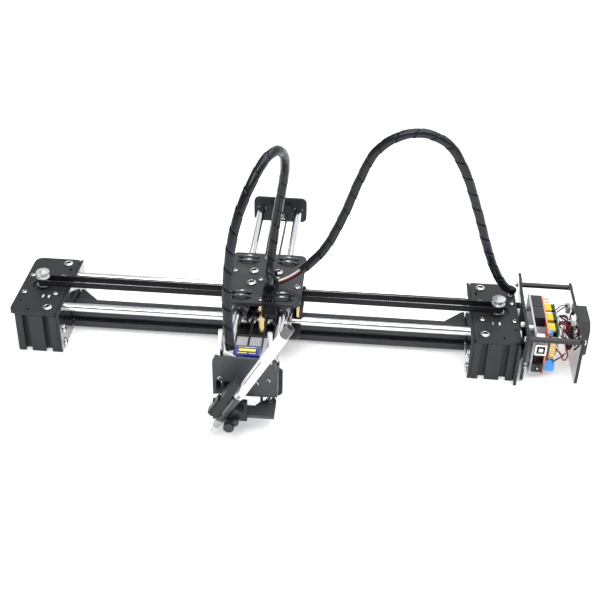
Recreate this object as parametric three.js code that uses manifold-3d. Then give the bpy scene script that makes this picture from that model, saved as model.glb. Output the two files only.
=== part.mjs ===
// Desktop XY pen plotter: two belt-driven axes at right angles, a lifting pen head at the front of
// the arm and a controller with a fan at the right-hand end. Millimetres, +Z up, the pen faces -Y.
import * as THREE from 'three';
import * as BufferGeometryUtils from 'three/addons/utils/BufferGeometryUtils.js';
import Module from 'manifold-3d';

const wasm = await Module();
wasm.setup();

// ---- Driving dimensions -------------------------------------------------------------------------
const GAP = 0.3;                 // air between neighbouring pieces
const PLATE = 3;                 // every black plate is 3 mm thick
const MOTOR_X = 224.4;           // motor axes stand this far left and right of the middle
const MOTOR_SIDE = 42.3;         // square motor body
const MOTOR_HEIGHT = 38;
const LEG_TOP = 42 - GAP;        // legs stand on the floor
const DECK_BOTTOM = 42;          // underside of the two end decks
const DECK_TOP = DECK_BOTTOM + PLATE;
const DECK_DEPTH = 100;
const LEG_OUT = 15.7;            // leg reaches this far outwards of the motor axis
const LEG_IN = 24.3;             // and this far inwards
const LEG_Y = 40;                // centre line of the front and rear legs
const ROD_R = 4;                 // 8 mm chromed rods
const X_ROD_Y = 28;
const X_ROD_Z = 39.5;
const Y_ROD_Z = 57.6;
const Y_ROD_X = 20;              // from the arm's centre line
const ARM_X = -3;                // centre line of the carriage and arm
const HEAD_X = -6.5;             // centre line of the pen head
const BEARING_R = 7.5;
const BEARING_LENGTH = 24;
const BEARING_PAIR_LENGTH = 58;  // two X bushings with a spacer sleeve between them
const ARM_PLATE_H = 29;
const BELT_Z = 47;               // lower edge of the belt
const BELT_HEIGHT = 6;
const BELT_THICK = 1.4;
const BELT_Y = 5.1;              // the two cross strands, also the pulleys' pitch radius
const IDLER_X = 12;              // carriage idlers, from the arm's centre line
const IDLER_Y = 10.7;
const IDLER_PITCH = IDLER_Y - BELT_Y;
const STRAND_X = IDLER_X - IDLER_PITCH;
const REAR_STRAND_X = 8;         // strands spread a little towards the rear clamp
const ARM_REAR = 158;            // inner face of the rear arm plate
const ARM_FRONT = -118;          // inner face of the front arm plate
const ARM_IDLER_Y = -106;
const TOP_Z = 65.4;              // underside of the carriage's top plate
const BOTTOM_Z = 28.7;           // underside of its bottom plate
const TIE_REACH = 8.4;           // tie slots, from the bushing's axis
const CARRIAGE_W = 75;
const CARRIAGE_D = 90;
const GUIDE_X = 21.4;            // pen guide rods, from the head's centre line
const GUIDE_Y = -128.5;
const GUIDE_R = 2.2;
const GUIDE_TOP = 95;
const HEAD_FRONT = -137;
const HEAD_BOTTOM = 31;
const ARM_PLATE_BOTTOM = 20.6;   // lower edge of the arm's front plate
const FINGER_X = 6.8;            // the slider's lifting finger
const BOARD_X = 247;             // electronics plate
const FAN_X = 298.4;             // fan plate
const FAN_SIZE = 40;
const FAN_DEPTH = 10;
const FAN_Z = 29;
const PEN_TIP = new THREE.Vector3(-36.6, -158, 1.2);
const PEN_TOP = new THREE.Vector3(35.4, -158, 123.6);
const PEN_R = 4.8;

// ---- Finishes -----------------------------------------------------------------------------------
function finish(color, roughness, metalness) {
  return new THREE.MeshStandardMaterial({ color, roughness, metalness });
}
const blackPlate = finish(0x2c2d31, 0.5, 0.1);
const blackProfile = finish(0x2a2b30, 0.42, 0.6);
const chrome = finish(0xd9dce0, 0.12, 1.0);
const bearingSteel = finish(0xb9bcc0, 0.25, 1.0);
const aluminium = finish(0xc9ccd0, 0.3, 1.0);
const brass = finish(0xc9a050, 0.3, 1.0);
const motorBlack = finish(0x17181a, 0.45, 0.3);
const beltRubber = finish(0x141416, 0.8, 0.0);
const cableWrap = finish(0x161618, 0.45, 0.0);
const servoBlue = finish(0x26309c, 0.3, 0.0);
const penWhite = finish(0xeceef0, 0.25, 0.0);
const boardTeal = finish(0x14505c, 0.45, 0.0);
const shieldRed = finish(0xd0442c, 0.45, 0.0);
const fanPlastic = finish(0x1d1e20, 0.5, 0.0);
const hornWhite = finish(0xe8e8e4, 0.4, 0.0);

// ---- Shape helpers ------------------------------------------------------------------------------
const part = new THREE.Group();

function add(name, geometry, material) {
  const mesh = new THREE.Mesh(geometry, material);
  mesh.name = name;
  part.add(mesh);
  return mesh;
}

function toSolid(geometry) {
  const bare = geometry.clone();
  bare.deleteAttribute('normal');
  bare.deleteAttribute('uv');
  const merged = BufferGeometryUtils.mergeVertices(bare, 1e-4);
  const mesh = new wasm.Mesh({
    numProp: 3,
    vertProperties: new Float32Array(merged.attributes.position.array),
    triVerts: new Uint32Array(merged.index.array),
  });
  return new wasm.Manifold(mesh);
}

function toGeometry(solid) {
  const mesh = solid.getMesh();
  const geometry = new THREE.BufferGeometry();
  geometry.setAttribute('position', new THREE.Float32BufferAttribute(mesh.vertProperties, 3));
  geometry.setIndex(new THREE.BufferAttribute(new Uint32Array(mesh.triVerts), 1));
  geometry.computeVertexNormals();
  return geometry;
}

function combine(joined, cut = []) {
  let solid = toSolid(joined[0]);
  for (const piece of joined.slice(1)) {
    solid = solid.add(toSolid(piece));
  }
  for (const piece of cut) {
    solid = solid.subtract(toSolid(piece));
  }
  return toGeometry(solid);
}

function box(x0, x1, y0, y1, z0, z1) {
  const geometry = new THREE.BoxGeometry(x1 - x0, y1 - y0, z1 - z0);
  return geometry.translate((x0 + x1) / 2, (y0 + y1) / 2, (z0 + z1) / 2);
}

// Cylinder from one end to the other along a named axis, starting at the given point.
function rod(axis, radius, length, x, y, z, sides = 24) {
  const geometry = new THREE.CylinderGeometry(radius, radius, length, sides);
  if (axis === 'x') {
    geometry.rotateZ(-Math.PI / 2);
    geometry.translate(x + length / 2, y, z);
  } else if (axis === 'y') {
    geometry.translate(x, y + length / 2, z);
  } else {
    geometry.rotateX(Math.PI / 2);
    geometry.translate(x, y, z + length / 2);
  }
  return geometry;
}

function lathe(profile, sides = 28) {
  const points = profile.map(([radius, height]) => new THREE.Vector2(radius, height));
  return new THREE.LatheGeometry(points, sides).rotateX(Math.PI / 2);
}

function roundedRect(w, d, r, target = new THREE.Shape()) {
  target.moveTo(-w / 2 + r, -d / 2);
  target.lineTo(w / 2 - r, -d / 2);
  target.absarc(w / 2 - r, -d / 2 + r, r, -Math.PI / 2, 0, false);
  target.lineTo(w / 2, d / 2 - r);
  target.absarc(w / 2 - r, d / 2 - r, r, 0, Math.PI / 2, false);
  target.lineTo(-w / 2 + r, d / 2);
  target.absarc(-w / 2 + r, d / 2 - r, r, Math.PI / 2, Math.PI, false);
  target.lineTo(-w / 2, -d / 2 + r);
  target.absarc(-w / 2 + r, -d / 2 + r, r, Math.PI, 1.5 * Math.PI, false);
  return target;
}

function choppedSquare(half, chop) {
  const inner = half - chop;
  const corners = [
    [-inner, -half], [inner, -half], [half, -inner], [half, inner],
    [inner, half], [-inner, half], [-half, inner], [-half, -inner],
  ];
  return new THREE.Shape(corners.map(([x, y]) => new THREE.Vector2(x, y)));
}

// Holes are kept beside their shape, and slab() cuts them right through.
const holesOf = new Map();

function addHole(shape, makeCutter) {
  holesOf.set(shape, [...(holesOf.get(shape) ?? []), makeCutter]);
}

function roundHole(shape, x, y, r, sides = 20) {
  addHole(shape, (z0, thickness) => rod('z', r, thickness + 2, x, y, z0 - 1, sides));
}

function slotHole(shape, x, y, length, width) {
  addHole(shape, (z0, thickness) => (
    box(x - length / 2, x + length / 2, y - width / 2, y + width / 2, z0 - 1, z0 + thickness + 1)
  ));
}

function slab(shape, z0, thickness, curveSegments = 6) {
  const geometry = new THREE.ExtrudeGeometry(shape, { depth: thickness, bevelEnabled: false, curveSegments });
  geometry.translate(0, 0, z0);
  const cutters = (holesOf.get(shape) ?? []).map((makeCutter) => makeCutter(z0, thickness));
  return cutters.length > 0 ? combine([geometry], cutters) : geometry;
}

// Turns a slab drawn in X and Z (shape x, shape y) so that it stands across Y.
function standAcrossY(geometry, y0, thickness) {
  return geometry.rotateX(Math.PI / 2).translate(0, y0 + thickness, 0);
}

// Turns a slab drawn in Y and Z (shape x, shape y) so that it stands across X.
function standAcrossX(geometry, x0) {
  return geometry.rotateX(Math.PI / 2).rotateZ(Math.PI / 2).translate(x0, 0, 0);
}

// One 20 mm square cell of aluminium profile has a T-slot in each outer face.
const SLOT_MOUTH = 3.1;
const SLOT_LIP = 1.8;
const SLOT_HALF = 5.2;
const SLOT_DEPTH = 5.6;
const SLOT_FLOOR = 3.0;

function slotOutline(cx, cy, outX, outY) {
  const acrossX = -outY;
  const acrossY = outX;
  const at = (across, depth) => [
    cx + outX * (10 - depth) + acrossX * across,
    cy + outY * (10 - depth) + acrossY * across,
  ];
  return [
    at(-SLOT_MOUTH, 0), at(-SLOT_MOUTH, SLOT_LIP), at(-SLOT_HALF, SLOT_LIP), at(-SLOT_HALF, 3),
    at(-SLOT_FLOOR, SLOT_DEPTH), at(SLOT_FLOOR, SLOT_DEPTH), at(SLOT_HALF, 3), at(SLOT_HALF, SLOT_LIP),
    at(SLOT_MOUTH, SLOT_LIP), at(SLOT_MOUTH, 0),
  ];
}

function profileShape(cells) {
  const half = cells * 10;
  const centres = Array.from({ length: cells }, (_, i) => -half + 10 + 20 * i);
  const outline = [[-half, -10]];
  for (const c of centres) {
    outline.push(...slotOutline(c, 0, 0, -1));
  }
  outline.push([half, -10]);
  outline.push(...slotOutline(centres[cells - 1], 0, 1, 0));
  outline.push([half, 10]);
  for (const c of [...centres].reverse()) {
    outline.push(...slotOutline(c, 0, 0, 1));
  }
  outline.push([-half, 10]);
  outline.push(...slotOutline(centres[0], 0, -1, 0));
  const shape = new THREE.Shape(outline.map(([x, y]) => new THREE.Vector2(x, y)));
  for (const c of centres) {
    roundHole(shape, c, 0, 2.1, 12);
  }
  return shape;
}

// Flat strip that follows a line of points in plan, with the belt's thickness and height.
function beltAlong(points) {
  const left = [];
  const right = [];
  for (let i = 0; i < points.length; i += 1) {
    const before = points[Math.max(i - 1, 0)];
    const after = points[Math.min(i + 1, points.length - 1)];
    const dx = after[0] - before[0];
    const dy = after[1] - before[1];
    const size = Math.hypot(dx, dy);
    const nx = (-dy / size) * (BELT_THICK / 2);
    const ny = (dx / size) * (BELT_THICK / 2);
    left.push(new THREE.Vector2(points[i][0] + nx, points[i][1] + ny));
    right.push(new THREE.Vector2(points[i][0] - nx, points[i][1] - ny));
  }
  const shape = new THREE.Shape([...left, ...right.reverse()]);
  return slab(shape, BELT_Z, BELT_HEIGHT);
}

function arcPoints(cx, cy, r, from, to, steps) {
  const points = [];
  for (let i = 0; i <= steps; i += 1) {
    const a = THREE.MathUtils.degToRad(from + ((to - from) * i) / steps);
    points.push([cx + r * Math.cos(a), cy + r * Math.sin(a)]);
  }
  return points;
}

// ---- Ends: legs, decks, inner plates, motors -----------------------------------------------------
const sides = [['left', -1], ['right', 1]];
for (const [side, sign] of sides) {
  const axis = sign * MOTOR_X;
  const legX = axis + (sign * (LEG_OUT - LEG_IN)) / 2;
  for (const [row, rowSign] of [['front', -1], ['rear', 1]]) {
    const leg = slab(profileShape(2), 0, LEG_TOP).translate(legX, rowSign * LEG_Y, 0);
    add(`leg_${side}_${row}`, leg, blackProfile);
  }

  const deckIn = LEG_IN;
  const deckOut = sign < 0 ? 21.6 : 19.6;
  const deckWidth = deckIn + deckOut;
  const deckX = axis + (sign * (deckOut - deckIn)) / 2;
  const half = deckWidth / 2;
  const d = DECK_DEPTH / 2;
  const r = 7;
  const hub = -sign * ((deckOut - deckIn) / 2);
  const inward = -sign;
  const corner = (x, y) => new THREE.Vector2(inward * x, y);
  const outline = [
    corner(half - 2, -d), corner(half, -d + 2), corner(half, d - 2), corner(half - 2, d),
    corner(-half + r, d), corner(-half + 2, d - 2), corner(-half, d - r),
    corner(-half, -d + r), corner(-half + 2, -d + 2), corner(-half + r, -d),
  ];
  const deckShape = new THREE.Shape(outline);
  roundHole(deckShape, hub, 0, 11 + GAP, 32);
  const [slotA, slotB] = sign < 0 ? [4.4, 10.2] : [-0.9, 5.5];
  slotHole(deckShape, hub + inward * slotA, -20, 1.8, 5);
  slotHole(deckShape, hub + inward * slotB, -20, 1.8, 5);
  roundHole(deckShape, hub - inward * 3.8, -44, 1.4, 12);
  roundHole(deckShape, hub - inward * 15.6, -29, 1.4, 12);
  slotHole(deckShape, hub + inward * 19, 30, 2, 5);
  add(`deck_${side}`, slab(deckShape, DECK_BOTTOM, PLATE).translate(deckX, 0, 0), blackPlate);

  const innerFace = axis - sign * (LEG_IN + GAP);
  const plateX = sign < 0 ? innerFace : innerFace - PLATE;
  const endShape = new THREE.Shape();
  endShape.moveTo(-50, 0);
  endShape.lineTo(50, 0);
  endShape.lineTo(50, DECK_TOP - GAP);
  endShape.lineTo(-50, DECK_TOP - GAP);
  endShape.closePath();
  roundHole(endShape, -X_ROD_Y, X_ROD_Z, ROD_R + GAP);
  roundHole(endShape, X_ROD_Y, X_ROD_Z, ROD_R + GAP);
  slotHole(endShape, 0, 34, 12, 4);
  add(`end_plate_${side}`, standAcrossX(slab(endShape, 0, PLATE, 8), plateX), blackPlate);

  const motorTop = DECK_BOTTOM - GAP;
  const motorShape = choppedSquare(MOTOR_SIDE / 2, 4.5);
  const can = slab(motorShape, motorTop - MOTOR_HEIGHT, MOTOR_HEIGHT);
  const boss = rod('z', 11, 3, 0, 0, motorTop - 1);
  const bore = rod('z', 2.5 + GAP, 12, 0, 0, motorTop - 8);
  add(`motor_${side}`, combine([can, boss], [bore]).translate(axis, 0, 0), motorBlack);

  const pulley = lathe([
    [0, 35], [2.5, 35], [2.5, 45.4], [6.5, 45.4], [6.5, 46.4], [BELT_Y - BELT_THICK / 2 - GAP, 46.4],
    [BELT_Y - BELT_THICK / 2 - GAP, 54], [6.5, 54], [6.5, 55], [4.85, 55], [4.85, 59.4],
    [6.5, 59.4], [6.5, 60.5], [2.5, 60.5], [2.5, 62.5], [0, 62.5],
  ]);
  add(`pulley_${side}`, pulley.translate(axis, 0, 0), aluminium);

  // Corner brace between the beam's rear face and the end plate, with two ribs.
  const reach = 20;
  const rise = 17;
  const wall = 3;
  const braceShape = new THREE.Shape();
  braceShape.moveTo(0, 0);
  braceShape.lineTo(reach, 0);
  braceShape.lineTo(reach, wall);
  braceShape.lineTo(wall, reach);
  braceShape.lineTo(0, reach);
  braceShape.closePath();
  const hollow = new THREE.Shape();
  hollow.moveTo(wall, wall);
  hollow.lineTo(reach + 5, wall);
  hollow.lineTo(wall, reach + 5);
  hollow.closePath();
  const braceSolid = slab(braceShape, 0, rise);
  const pocket = slab(hollow, 2.2, rise - 4.4);
  const brace = combine([braceSolid], [pocket]);
  const beamEnd = sign * (MOTOR_X - LEG_IN - PLATE - 3 * GAP);
  const turned = sign < 0 ? brace : brace.rotateZ(Math.PI / 2);
  add(`corner_brace_${side}`, turned.translate(beamEnd, 10 + GAP, 5), blackPlate);
}

// ---- Cross rods and beam ------------------------------------------------------------------------
const rodHalf = MOTOR_X - LEG_IN - 2 * GAP;
for (const [row, y] of [['front', -X_ROD_Y], ['rear', X_ROD_Y]]) {
  add(`rod_x_${row}`, rod('x', ROD_R, 2 * rodHalf, -rodHalf, y, X_ROD_Z), chrome);
}
const beamHalf = MOTOR_X - LEG_IN - PLATE - 3 * GAP;
const beam = slab(profileShape(1), 0, 2 * beamHalf).rotateY(Math.PI / 2).translate(-beamHalf, 0, 13.5);
add('cross_beam', beam, blackProfile);

// ---- Carriage -----------------------------------------------------------------------------------
const topShape = roundedRect(CARRIAGE_W, CARRIAGE_D, 7);
for (const sx of [-1, 1]) {
  for (const sy of [-1, 1]) {
    // Two ties hold each bushing, and each tie passes down through a slot on either side.
    for (const tie of [-3.7, 3.7]) {
      slotHole(topShape, sx * Y_ROD_X - TIE_REACH, sy * 32.5 + tie, 4.6, 2.9);
      slotHole(topShape, sx * Y_ROD_X + TIE_REACH, sy * 32.5 + tie, 4.6, 2.9);
    }
    roundHole(topShape, sx * IDLER_X, sy * IDLER_Y, 2.5 + GAP);
  }
}
add('carriage_top', slab(topShape, TOP_Z, PLATE).translate(ARM_X, 0, 0), blackPlate);

const bottomShape = roundedRect(CARRIAGE_W, CARRIAGE_D, 5);
slotHole(bottomShape, 0, 0, 14, 12);
const bottomPieces = [slab(bottomShape, BOTTOM_Z, PLATE)];
for (const sx of [-1, 1]) {
  for (const sy of [-1, 1]) {
    const x = sx * IDLER_X;
    const y = sy * IDLER_Y;
    bottomPieces.push(rod('z', 4, 12.9, x, y, BOTTOM_Z + 2, 20));
    bottomPieces.push(rod('z', 2.5, TOP_Z + PLATE - BOTTOM_Z - 1, x, y, BOTTOM_Z + 1, 20));
  }
}
add('carriage_bottom', combine(bottomPieces).translate(ARM_X, 0, 0), blackPlate);

// Ball bushing round its own middle: a plain sleeve with a groove near each end.
function bushingOutline(centre) {
  const h = BEARING_LENGTH / 2;
  const groove = BEARING_R - 0.5;
  const outline = [
    [groove, -h], [BEARING_R, -h + 0.5], [BEARING_R, -h + 3], [groove, -h + 3],
    [groove, -h + 4.1], [BEARING_R, -h + 4.1], [BEARING_R, h - 4.1], [groove, h - 4.1],
    [groove, h - 3], [BEARING_R, h - 3], [BEARING_R, h - 0.5], [groove, h],
  ];
  return outline.map(([radius, height]) => [radius, height + centre]);
}

function sleeve(outline) {
  const inner = ROD_R + GAP;
  const first = outline[0][1];
  const last = outline[outline.length - 1][1];
  return lathe([[inner, first], ...outline, [inner, last], [inner, first]], 24);
}

for (const [side, sx] of sides) {
  for (const [row, sy] of [['front', -1], ['rear', 1]]) {
    const single = sleeve(bushingOutline(0)).rotateX(Math.PI / 2);
    add(`bushing_y_${side}_${row}`, single.translate(ARM_X + sx * Y_ROD_X, sy * 32, Y_ROD_Z), bearingSteel);
  }
}
for (const [row, sy] of [['front', -1], ['rear', 1]]) {
  const reach = (BEARING_PAIR_LENGTH - BEARING_LENGTH) / 2;
  const waist = ROD_R + 1.3;
  const waistHalf = reach - BEARING_LENGTH / 2;
  const outline = [
    ...bushingOutline(-reach), [waist, -waistHalf], [waist, waistHalf], ...bushingOutline(reach),
  ];
  const pair = sleeve(outline).rotateY(Math.PI / 2);
  add(`bushing_x_${row}`, pair.translate(ARM_X, sy * X_ROD_Y, X_ROD_Z), bearingSteel);
}

// Smooth belt roller with one flange under the belt; its top stays below the arm's rods.
function idler(barrel) {
  return lathe([
    [2.5 + GAP, 45.2], [barrel + 1.4, 45.2], [barrel + 1.4, 46], [barrel, 46.4],
    [barrel, 52.9], [barrel - 0.4, 53.3], [2.5 + GAP, 53.3], [2.5 + GAP, 45.2],
  ], 28);
}
const carriageBarrel = IDLER_PITCH - BELT_THICK / 2 - GAP;
for (const [side, sx] of sides) {
  for (const [row, sy] of [['front', -1], ['rear', 1]]) {
    const roller = idler(carriageBarrel).translate(ARM_X + sx * IDLER_X, sy * IDLER_Y, 0);
    add(`idler_${side}_${row}`, roller, aluminium);
  }
}

const spacerSpots = [['front', ARM_X + 1, -39.5], ['right', 29.5, -14]];
for (const [row, x, y] of spacerSpots) {
  const bottom = BOTTOM_Z + PLATE + GAP;
  add(`brass_spacer_${row}`, rod('z', 3, TOP_Z - GAP - bottom, x, y, bottom, 6), brass);
}

// Cable clamp bar on the carriage, ribbed where it grips the wrapped cables.
const clampX = ARM_X + 7.2;
const clampPieces = [box(clampX - 3, clampX + 3, -44, 8, TOP_Z + PLATE + GAP, TOP_Z + PLATE + 4)];
for (const y of [-37, -23, -9, 5]) {
  clampPieces.push(box(clampX - 4.5, clampX + 4.5, y - 2, y + 2, TOP_Z + PLATE + GAP, TOP_Z + PLATE + 5));
}
add('cable_clamp', combine(clampPieces), blackPlate);

// ---- Arm ----------------------------------------------------------------------------------------
const headTop = 72;
const rodBack = ARM_REAR + PLATE - GAP;
for (const [side, sx] of sides) {
  const front = ARM_FRONT - PLATE + GAP;
  add(`rod_y_${side}`, rod('y', ROD_R, rodBack - front, ARM_X + sx * Y_ROD_X, front, Y_ROD_Z), chrome);
}
const rearShape = roundedRect(58, ARM_PLATE_H, 6);
const rearMiddle = 56.5;
roundHole(rearShape, -Y_ROD_X, Y_ROD_Z - rearMiddle, ROD_R + GAP);
roundHole(rearShape, Y_ROD_X, Y_ROD_Z - rearMiddle, ROD_R + GAP);
const rearPlate = standAcrossY(slab(rearShape, 0, PLATE, 8), ARM_REAR, PLATE);
const clampBlock = (sx) => box(
  sx * REAR_STRAND_X - 4, sx * REAR_STRAND_X + 4, ARM_REAR - 6, ARM_REAR + 1, BELT_Z + BELT_HEIGHT + GAP, 63,
);
const rearSolid = combine([rearPlate.translate(0, 0, rearMiddle), clampBlock(-1), clampBlock(1)]);
add('arm_rear_plate', rearSolid.translate(ARM_X, 0, 0), blackPlate);

// The front plate carries the rods in open half-round saddles.
const frontShape = new THREE.Shape();
frontShape.moveTo(-27, ARM_PLATE_BOTTOM);
frontShape.lineTo(25.7, ARM_PLATE_BOTTOM);
frontShape.lineTo(28.7, ARM_PLATE_BOTTOM + 3);
frontShape.lineTo(28.7, 48);
frontShape.lineTo(25.6, 51);
frontShape.lineTo(25.6, Y_ROD_Z);
frontShape.lineTo(-30, Y_ROD_Z);
frontShape.lineTo(-30, ARM_PLATE_BOTTOM + 3);
frontShape.closePath();
roundHole(frontShape, -Y_ROD_X, Y_ROD_Z, ROD_R + GAP);
roundHole(frontShape, Y_ROD_X, Y_ROD_Z, ROD_R + GAP);
const frontPlate = standAcrossY(slab(frontShape, 0, PLATE, 8), ARM_FRONT - PLATE, PLATE);
const idlerShelf = box(-9, 9, ARM_FRONT - 1, ARM_IDLER_Y + 8, 41.8, 44.9);
const idlerStud = rod('z', 2.5, 13, 0, ARM_IDLER_Y, 44, 20);
add('arm_front_plate', combine([frontPlate, idlerShelf, idlerStud]).translate(ARM_X, 0, 0), blackPlate);
const armBarrel = STRAND_X - BELT_THICK / 2 - GAP;
add('idler_arm', idler(armBarrel).translate(ARM_X, ARM_IDLER_Y, 0), aluminium);

// Head frame: face plate, two cheeks reaching back to the arm, and the shelf that guides the rods.
const faceHalf = 28;
const faceBottom = 46;
const faceShape = roundedRect(2 * faceHalf, headTop - faceBottom, 6);
const faceSlab = standAcrossY(slab(faceShape, 0, PLATE, 6), HEAD_FRONT, PLATE);
const face = faceSlab.translate(-0.5, 0, (headTop + faceBottom) / 2);
const back = ARM_FRONT - PLATE - GAP;
const leftCheek = box(-28.5, -28.5 + PLATE, HEAD_FRONT, back, HEAD_BOTTOM, 63);
const rightCheek = box(29 - PLATE, 29, HEAD_FRONT + 1, back, HEAD_BOTTOM, 56);
const shelf = box(-28.5, 29, HEAD_FRONT + 0.5, back, HEAD_BOTTOM, HEAD_BOTTOM + PLATE);
const apron = box(-10, 27.3, HEAD_FRONT, HEAD_FRONT + PLATE, HEAD_BOTTOM, 50);
const guideHoles = [-1, 1].map((sx) => rod('z', GUIDE_R + GAP, 20, sx * GUIDE_X, GUIDE_Y, 20, 16));
const fingerSlot = box(FINGER_X - 0.5 - HEAD_X, FINGER_X + 3 - HEAD_X, -133.9, -130.9, 20, 40);
const headSolid = combine([face, leftCheek, rightCheek, shelf, apron], [...guideHoles, fingerSlot]);
add('head_frame', headSolid.translate(HEAD_X, 0, 0), blackPlate);

// Micro servo lying on its side behind the face plate, its shaft pointing forwards.
const servoX = -5.4;
const hubX = servoX - 5.5;
const hubZ = 65.7;
const servoFront = -130.7;
const servoDepth = 14;
const servoBack = servoFront + servoDepth;
const servoBody = box(servoX - 11.4, servoX + 11.4, servoFront, servoBack, hubZ - 6.1, hubZ + 6.1);
const servoHub = rod('y', 2.4, 1.4, hubX, servoFront - 0.4, hubZ, 20);
add('servo', combine([servoBody, servoHub]), servoBlue);

// The two-armed horn slopes down to the right at rest; its right tip sits under the slider's hook.
const hornBack = servoFront - 0.7;
const hornThick = 2;
const hornReach = 15;
const hornDip = THREE.MathUtils.degToRad(-30.8);
const hornPieces = [
  rod('y', 3.6, hornThick, 0, -hornThick, 0, 20),
  box(-hornReach, hornReach, -hornThick, 0, -2, 2),
];
for (const end of [-hornReach, hornReach]) {
  hornPieces.push(rod('y', 2, hornThick, end, -hornThick, 0, 16));
}
const horn = combine(hornPieces).rotateY(-hornDip);
add('servo_horn', horn.translate(hubX, hornBack, hubZ), hornWhite);

// ---- Pen slider ---------------------------------------------------------------------------------
const sliderTop = 20;
const sliderEar = 5;
const sliderEarX = GUIDE_X + 1;
const sliderEarY = GUIDE_Y + 1;
const sliderShape = new THREE.Shape();
sliderShape.moveTo(-30, -150);
sliderShape.lineTo(27.4, -150);
sliderShape.absarc(sliderEarX, sliderEarY, sliderEar, 0, Math.PI, false);
sliderShape.lineTo(13, -130);
sliderShape.lineTo(9, -136);
sliderShape.lineTo(-9, -136);
sliderShape.lineTo(-13, -130);
sliderShape.absarc(-sliderEarX, sliderEarY, sliderEar, 0, Math.PI, false);
sliderShape.closePath();
const sliderPieces = [slab(sliderShape, sliderTop - PLATE, PLATE)];
// A finger rises from the plate through the shelf and hooks over the horn's tip.
function fingerBox(x0, x1, z0, z1) {
  return box(x0 - HEAD_X, x1 - HEAD_X, hornBack - hornThick, hornBack, z0, z1);
}
sliderPieces.push(fingerBox(FINGER_X, FINGER_X + 2.5, sliderTop - 1, 63.1));
sliderPieces.push(fingerBox(2, FINGER_X + 2.5, 60.7, 63.1));
for (const sx of [-1, 1]) {
  sliderPieces.push(rod('z', GUIDE_R, GUIDE_TOP - sliderTop + 1, sx * GUIDE_X, GUIDE_Y, sliderTop - 1, 16));
}
add('pen_slider', combine(sliderPieces).translate(HEAD_X, 0, 0), blackPlate);

// The pen leans in the plane across the arm; pieces built along +Z are laid onto its axis.
const penAxis = PEN_TOP.clone().sub(PEN_TIP);
const penLength = penAxis.length();
const penLean = Math.atan2(penAxis.x, penAxis.z);
function onPen(geometry) {
  return geometry.rotateY(penLean).translate(PEN_TIP.x, PEN_TIP.y, PEN_TIP.z);
}
const pen = lathe([
  [0, 0], [0.5, 0.3], [0.9, 4], [2.1, 10], [4.2, 20], [PEN_R, 21], [PEN_R, penLength - 16],
  [PEN_R - 0.5, penLength - 16], [PEN_R - 0.5, penLength - 1], [3.4, penLength], [0, penLength],
], 24);
add('pen', onPen(pen), penWhite);

// Cradle: a bar beside the pen, a block with an open channel for it, and a foot behind.
const holderBar = box(-12, -PEN_R - GAP, -4.5, 5, 24, 68);
const holderBlock = box(-14, 12, -3.4, 5, 24, 42);
const penChannel = rod('z', PEN_R + GAP, 80, 0, 0, 4, 24);
const holderFoot = box(HEAD_X - 26, HEAD_X + 4, -155, -150 - GAP, sliderTop - PLATE, sliderTop + 18);
const knobX = -17;
const knobZ = 19.5;
const knobBore = rod('y', 1.5 + GAP, 9, knobX, -165, knobZ, 16);
const cradle = combine([onPen(holderBar), onPen(holderBlock), holderFoot], [onPen(penChannel), knobBore]);
add('pen_holder', cradle, blackPlate);

const knobFace = PEN_TIP.y - PEN_R - GAP;
const knobShaft = rod('y', 1.5, -156.3 - knobFace + 1, knobX, knobFace - 1, knobZ, 16);
const knobHead = rod('y', 4.9, 6, knobX, knobFace - 6, knobZ, 24);
add('clamp_knob', combine([knobShaft, knobHead]), blackPlate);

// ---- Belts --------------------------------------------------------------------------------------
for (const [side, sign] of sides) {
  const ix = ARM_X + sign * IDLER_X;
  const px = sign * MOTOR_X;
  const mirrored = (angle) => (sign < 0 ? angle : 180 - angle);
  const line = [
    ...arcPoints(ix, IDLER_Y, IDLER_PITCH, mirrored(0), mirrored(-90), 6),
    ...arcPoints(px, 0, BELT_Y, mirrored(90), mirrored(270), 14),
    ...arcPoints(ix, -IDLER_Y, IDLER_PITCH, mirrored(90), mirrored(0), 6),
  ];
  add(`belt_x_${side}`, beltAlong(line), beltRubber);
  const strand = [
    [ARM_X + sign * STRAND_X, IDLER_Y + 0.4],
    [ARM_X + sign * REAR_STRAND_X, ARM_REAR - GAP],
  ];
  add(`belt_y_rear_${side}`, beltAlong(strand), beltRubber);
}
const frontLoop = [
  [ARM_X - STRAND_X, -IDLER_Y - 0.4],
  ...arcPoints(ARM_X, ARM_IDLER_Y, STRAND_X, 180, 360, 14),
  [ARM_X + STRAND_X, -IDLER_Y - 0.4],
];
add('belt_y_front', beltAlong(frontLoop), beltRubber);

// ---- Electronics --------------------------------------------------------------------------------
const outerX = MOTOR_X + LEG_OUT + GAP;
const outerWhole = box(outerX, outerX + PLATE, -57, 50, 0, LEG_TOP);
const motorWindow = box(outerX - 1, outerX + PLATE + 1, -21.6, 21.6, 3.3, LEG_TOP + 1);
add('outer_plate', combine([outerWhole], [motorWindow]), blackPlate);

const boardShape = new THREE.Shape();
boardShape.moveTo(-50, 2);
boardShape.lineTo(50, 2);
boardShape.lineTo(50, 60);
boardShape.lineTo(40, 60);
boardShape.lineTo(32, 56);
boardShape.lineTo(-50, 56);
boardShape.closePath();
slotHole(boardShape, -12, 30, 30, 16);
const boardPlate = standAcrossX(slab(boardShape, 0, PLATE), BOARD_X);
const bosses = [[-30, 34], [30, 34]].map(([y, z]) => (
  rod('x', 3, BOARD_X + 1 - outerX - PLATE - GAP, outerX + PLATE + GAP, y, z, 16)
));
add('board_plate', combine([boardPlate, ...bosses]), blackPlate);

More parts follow.
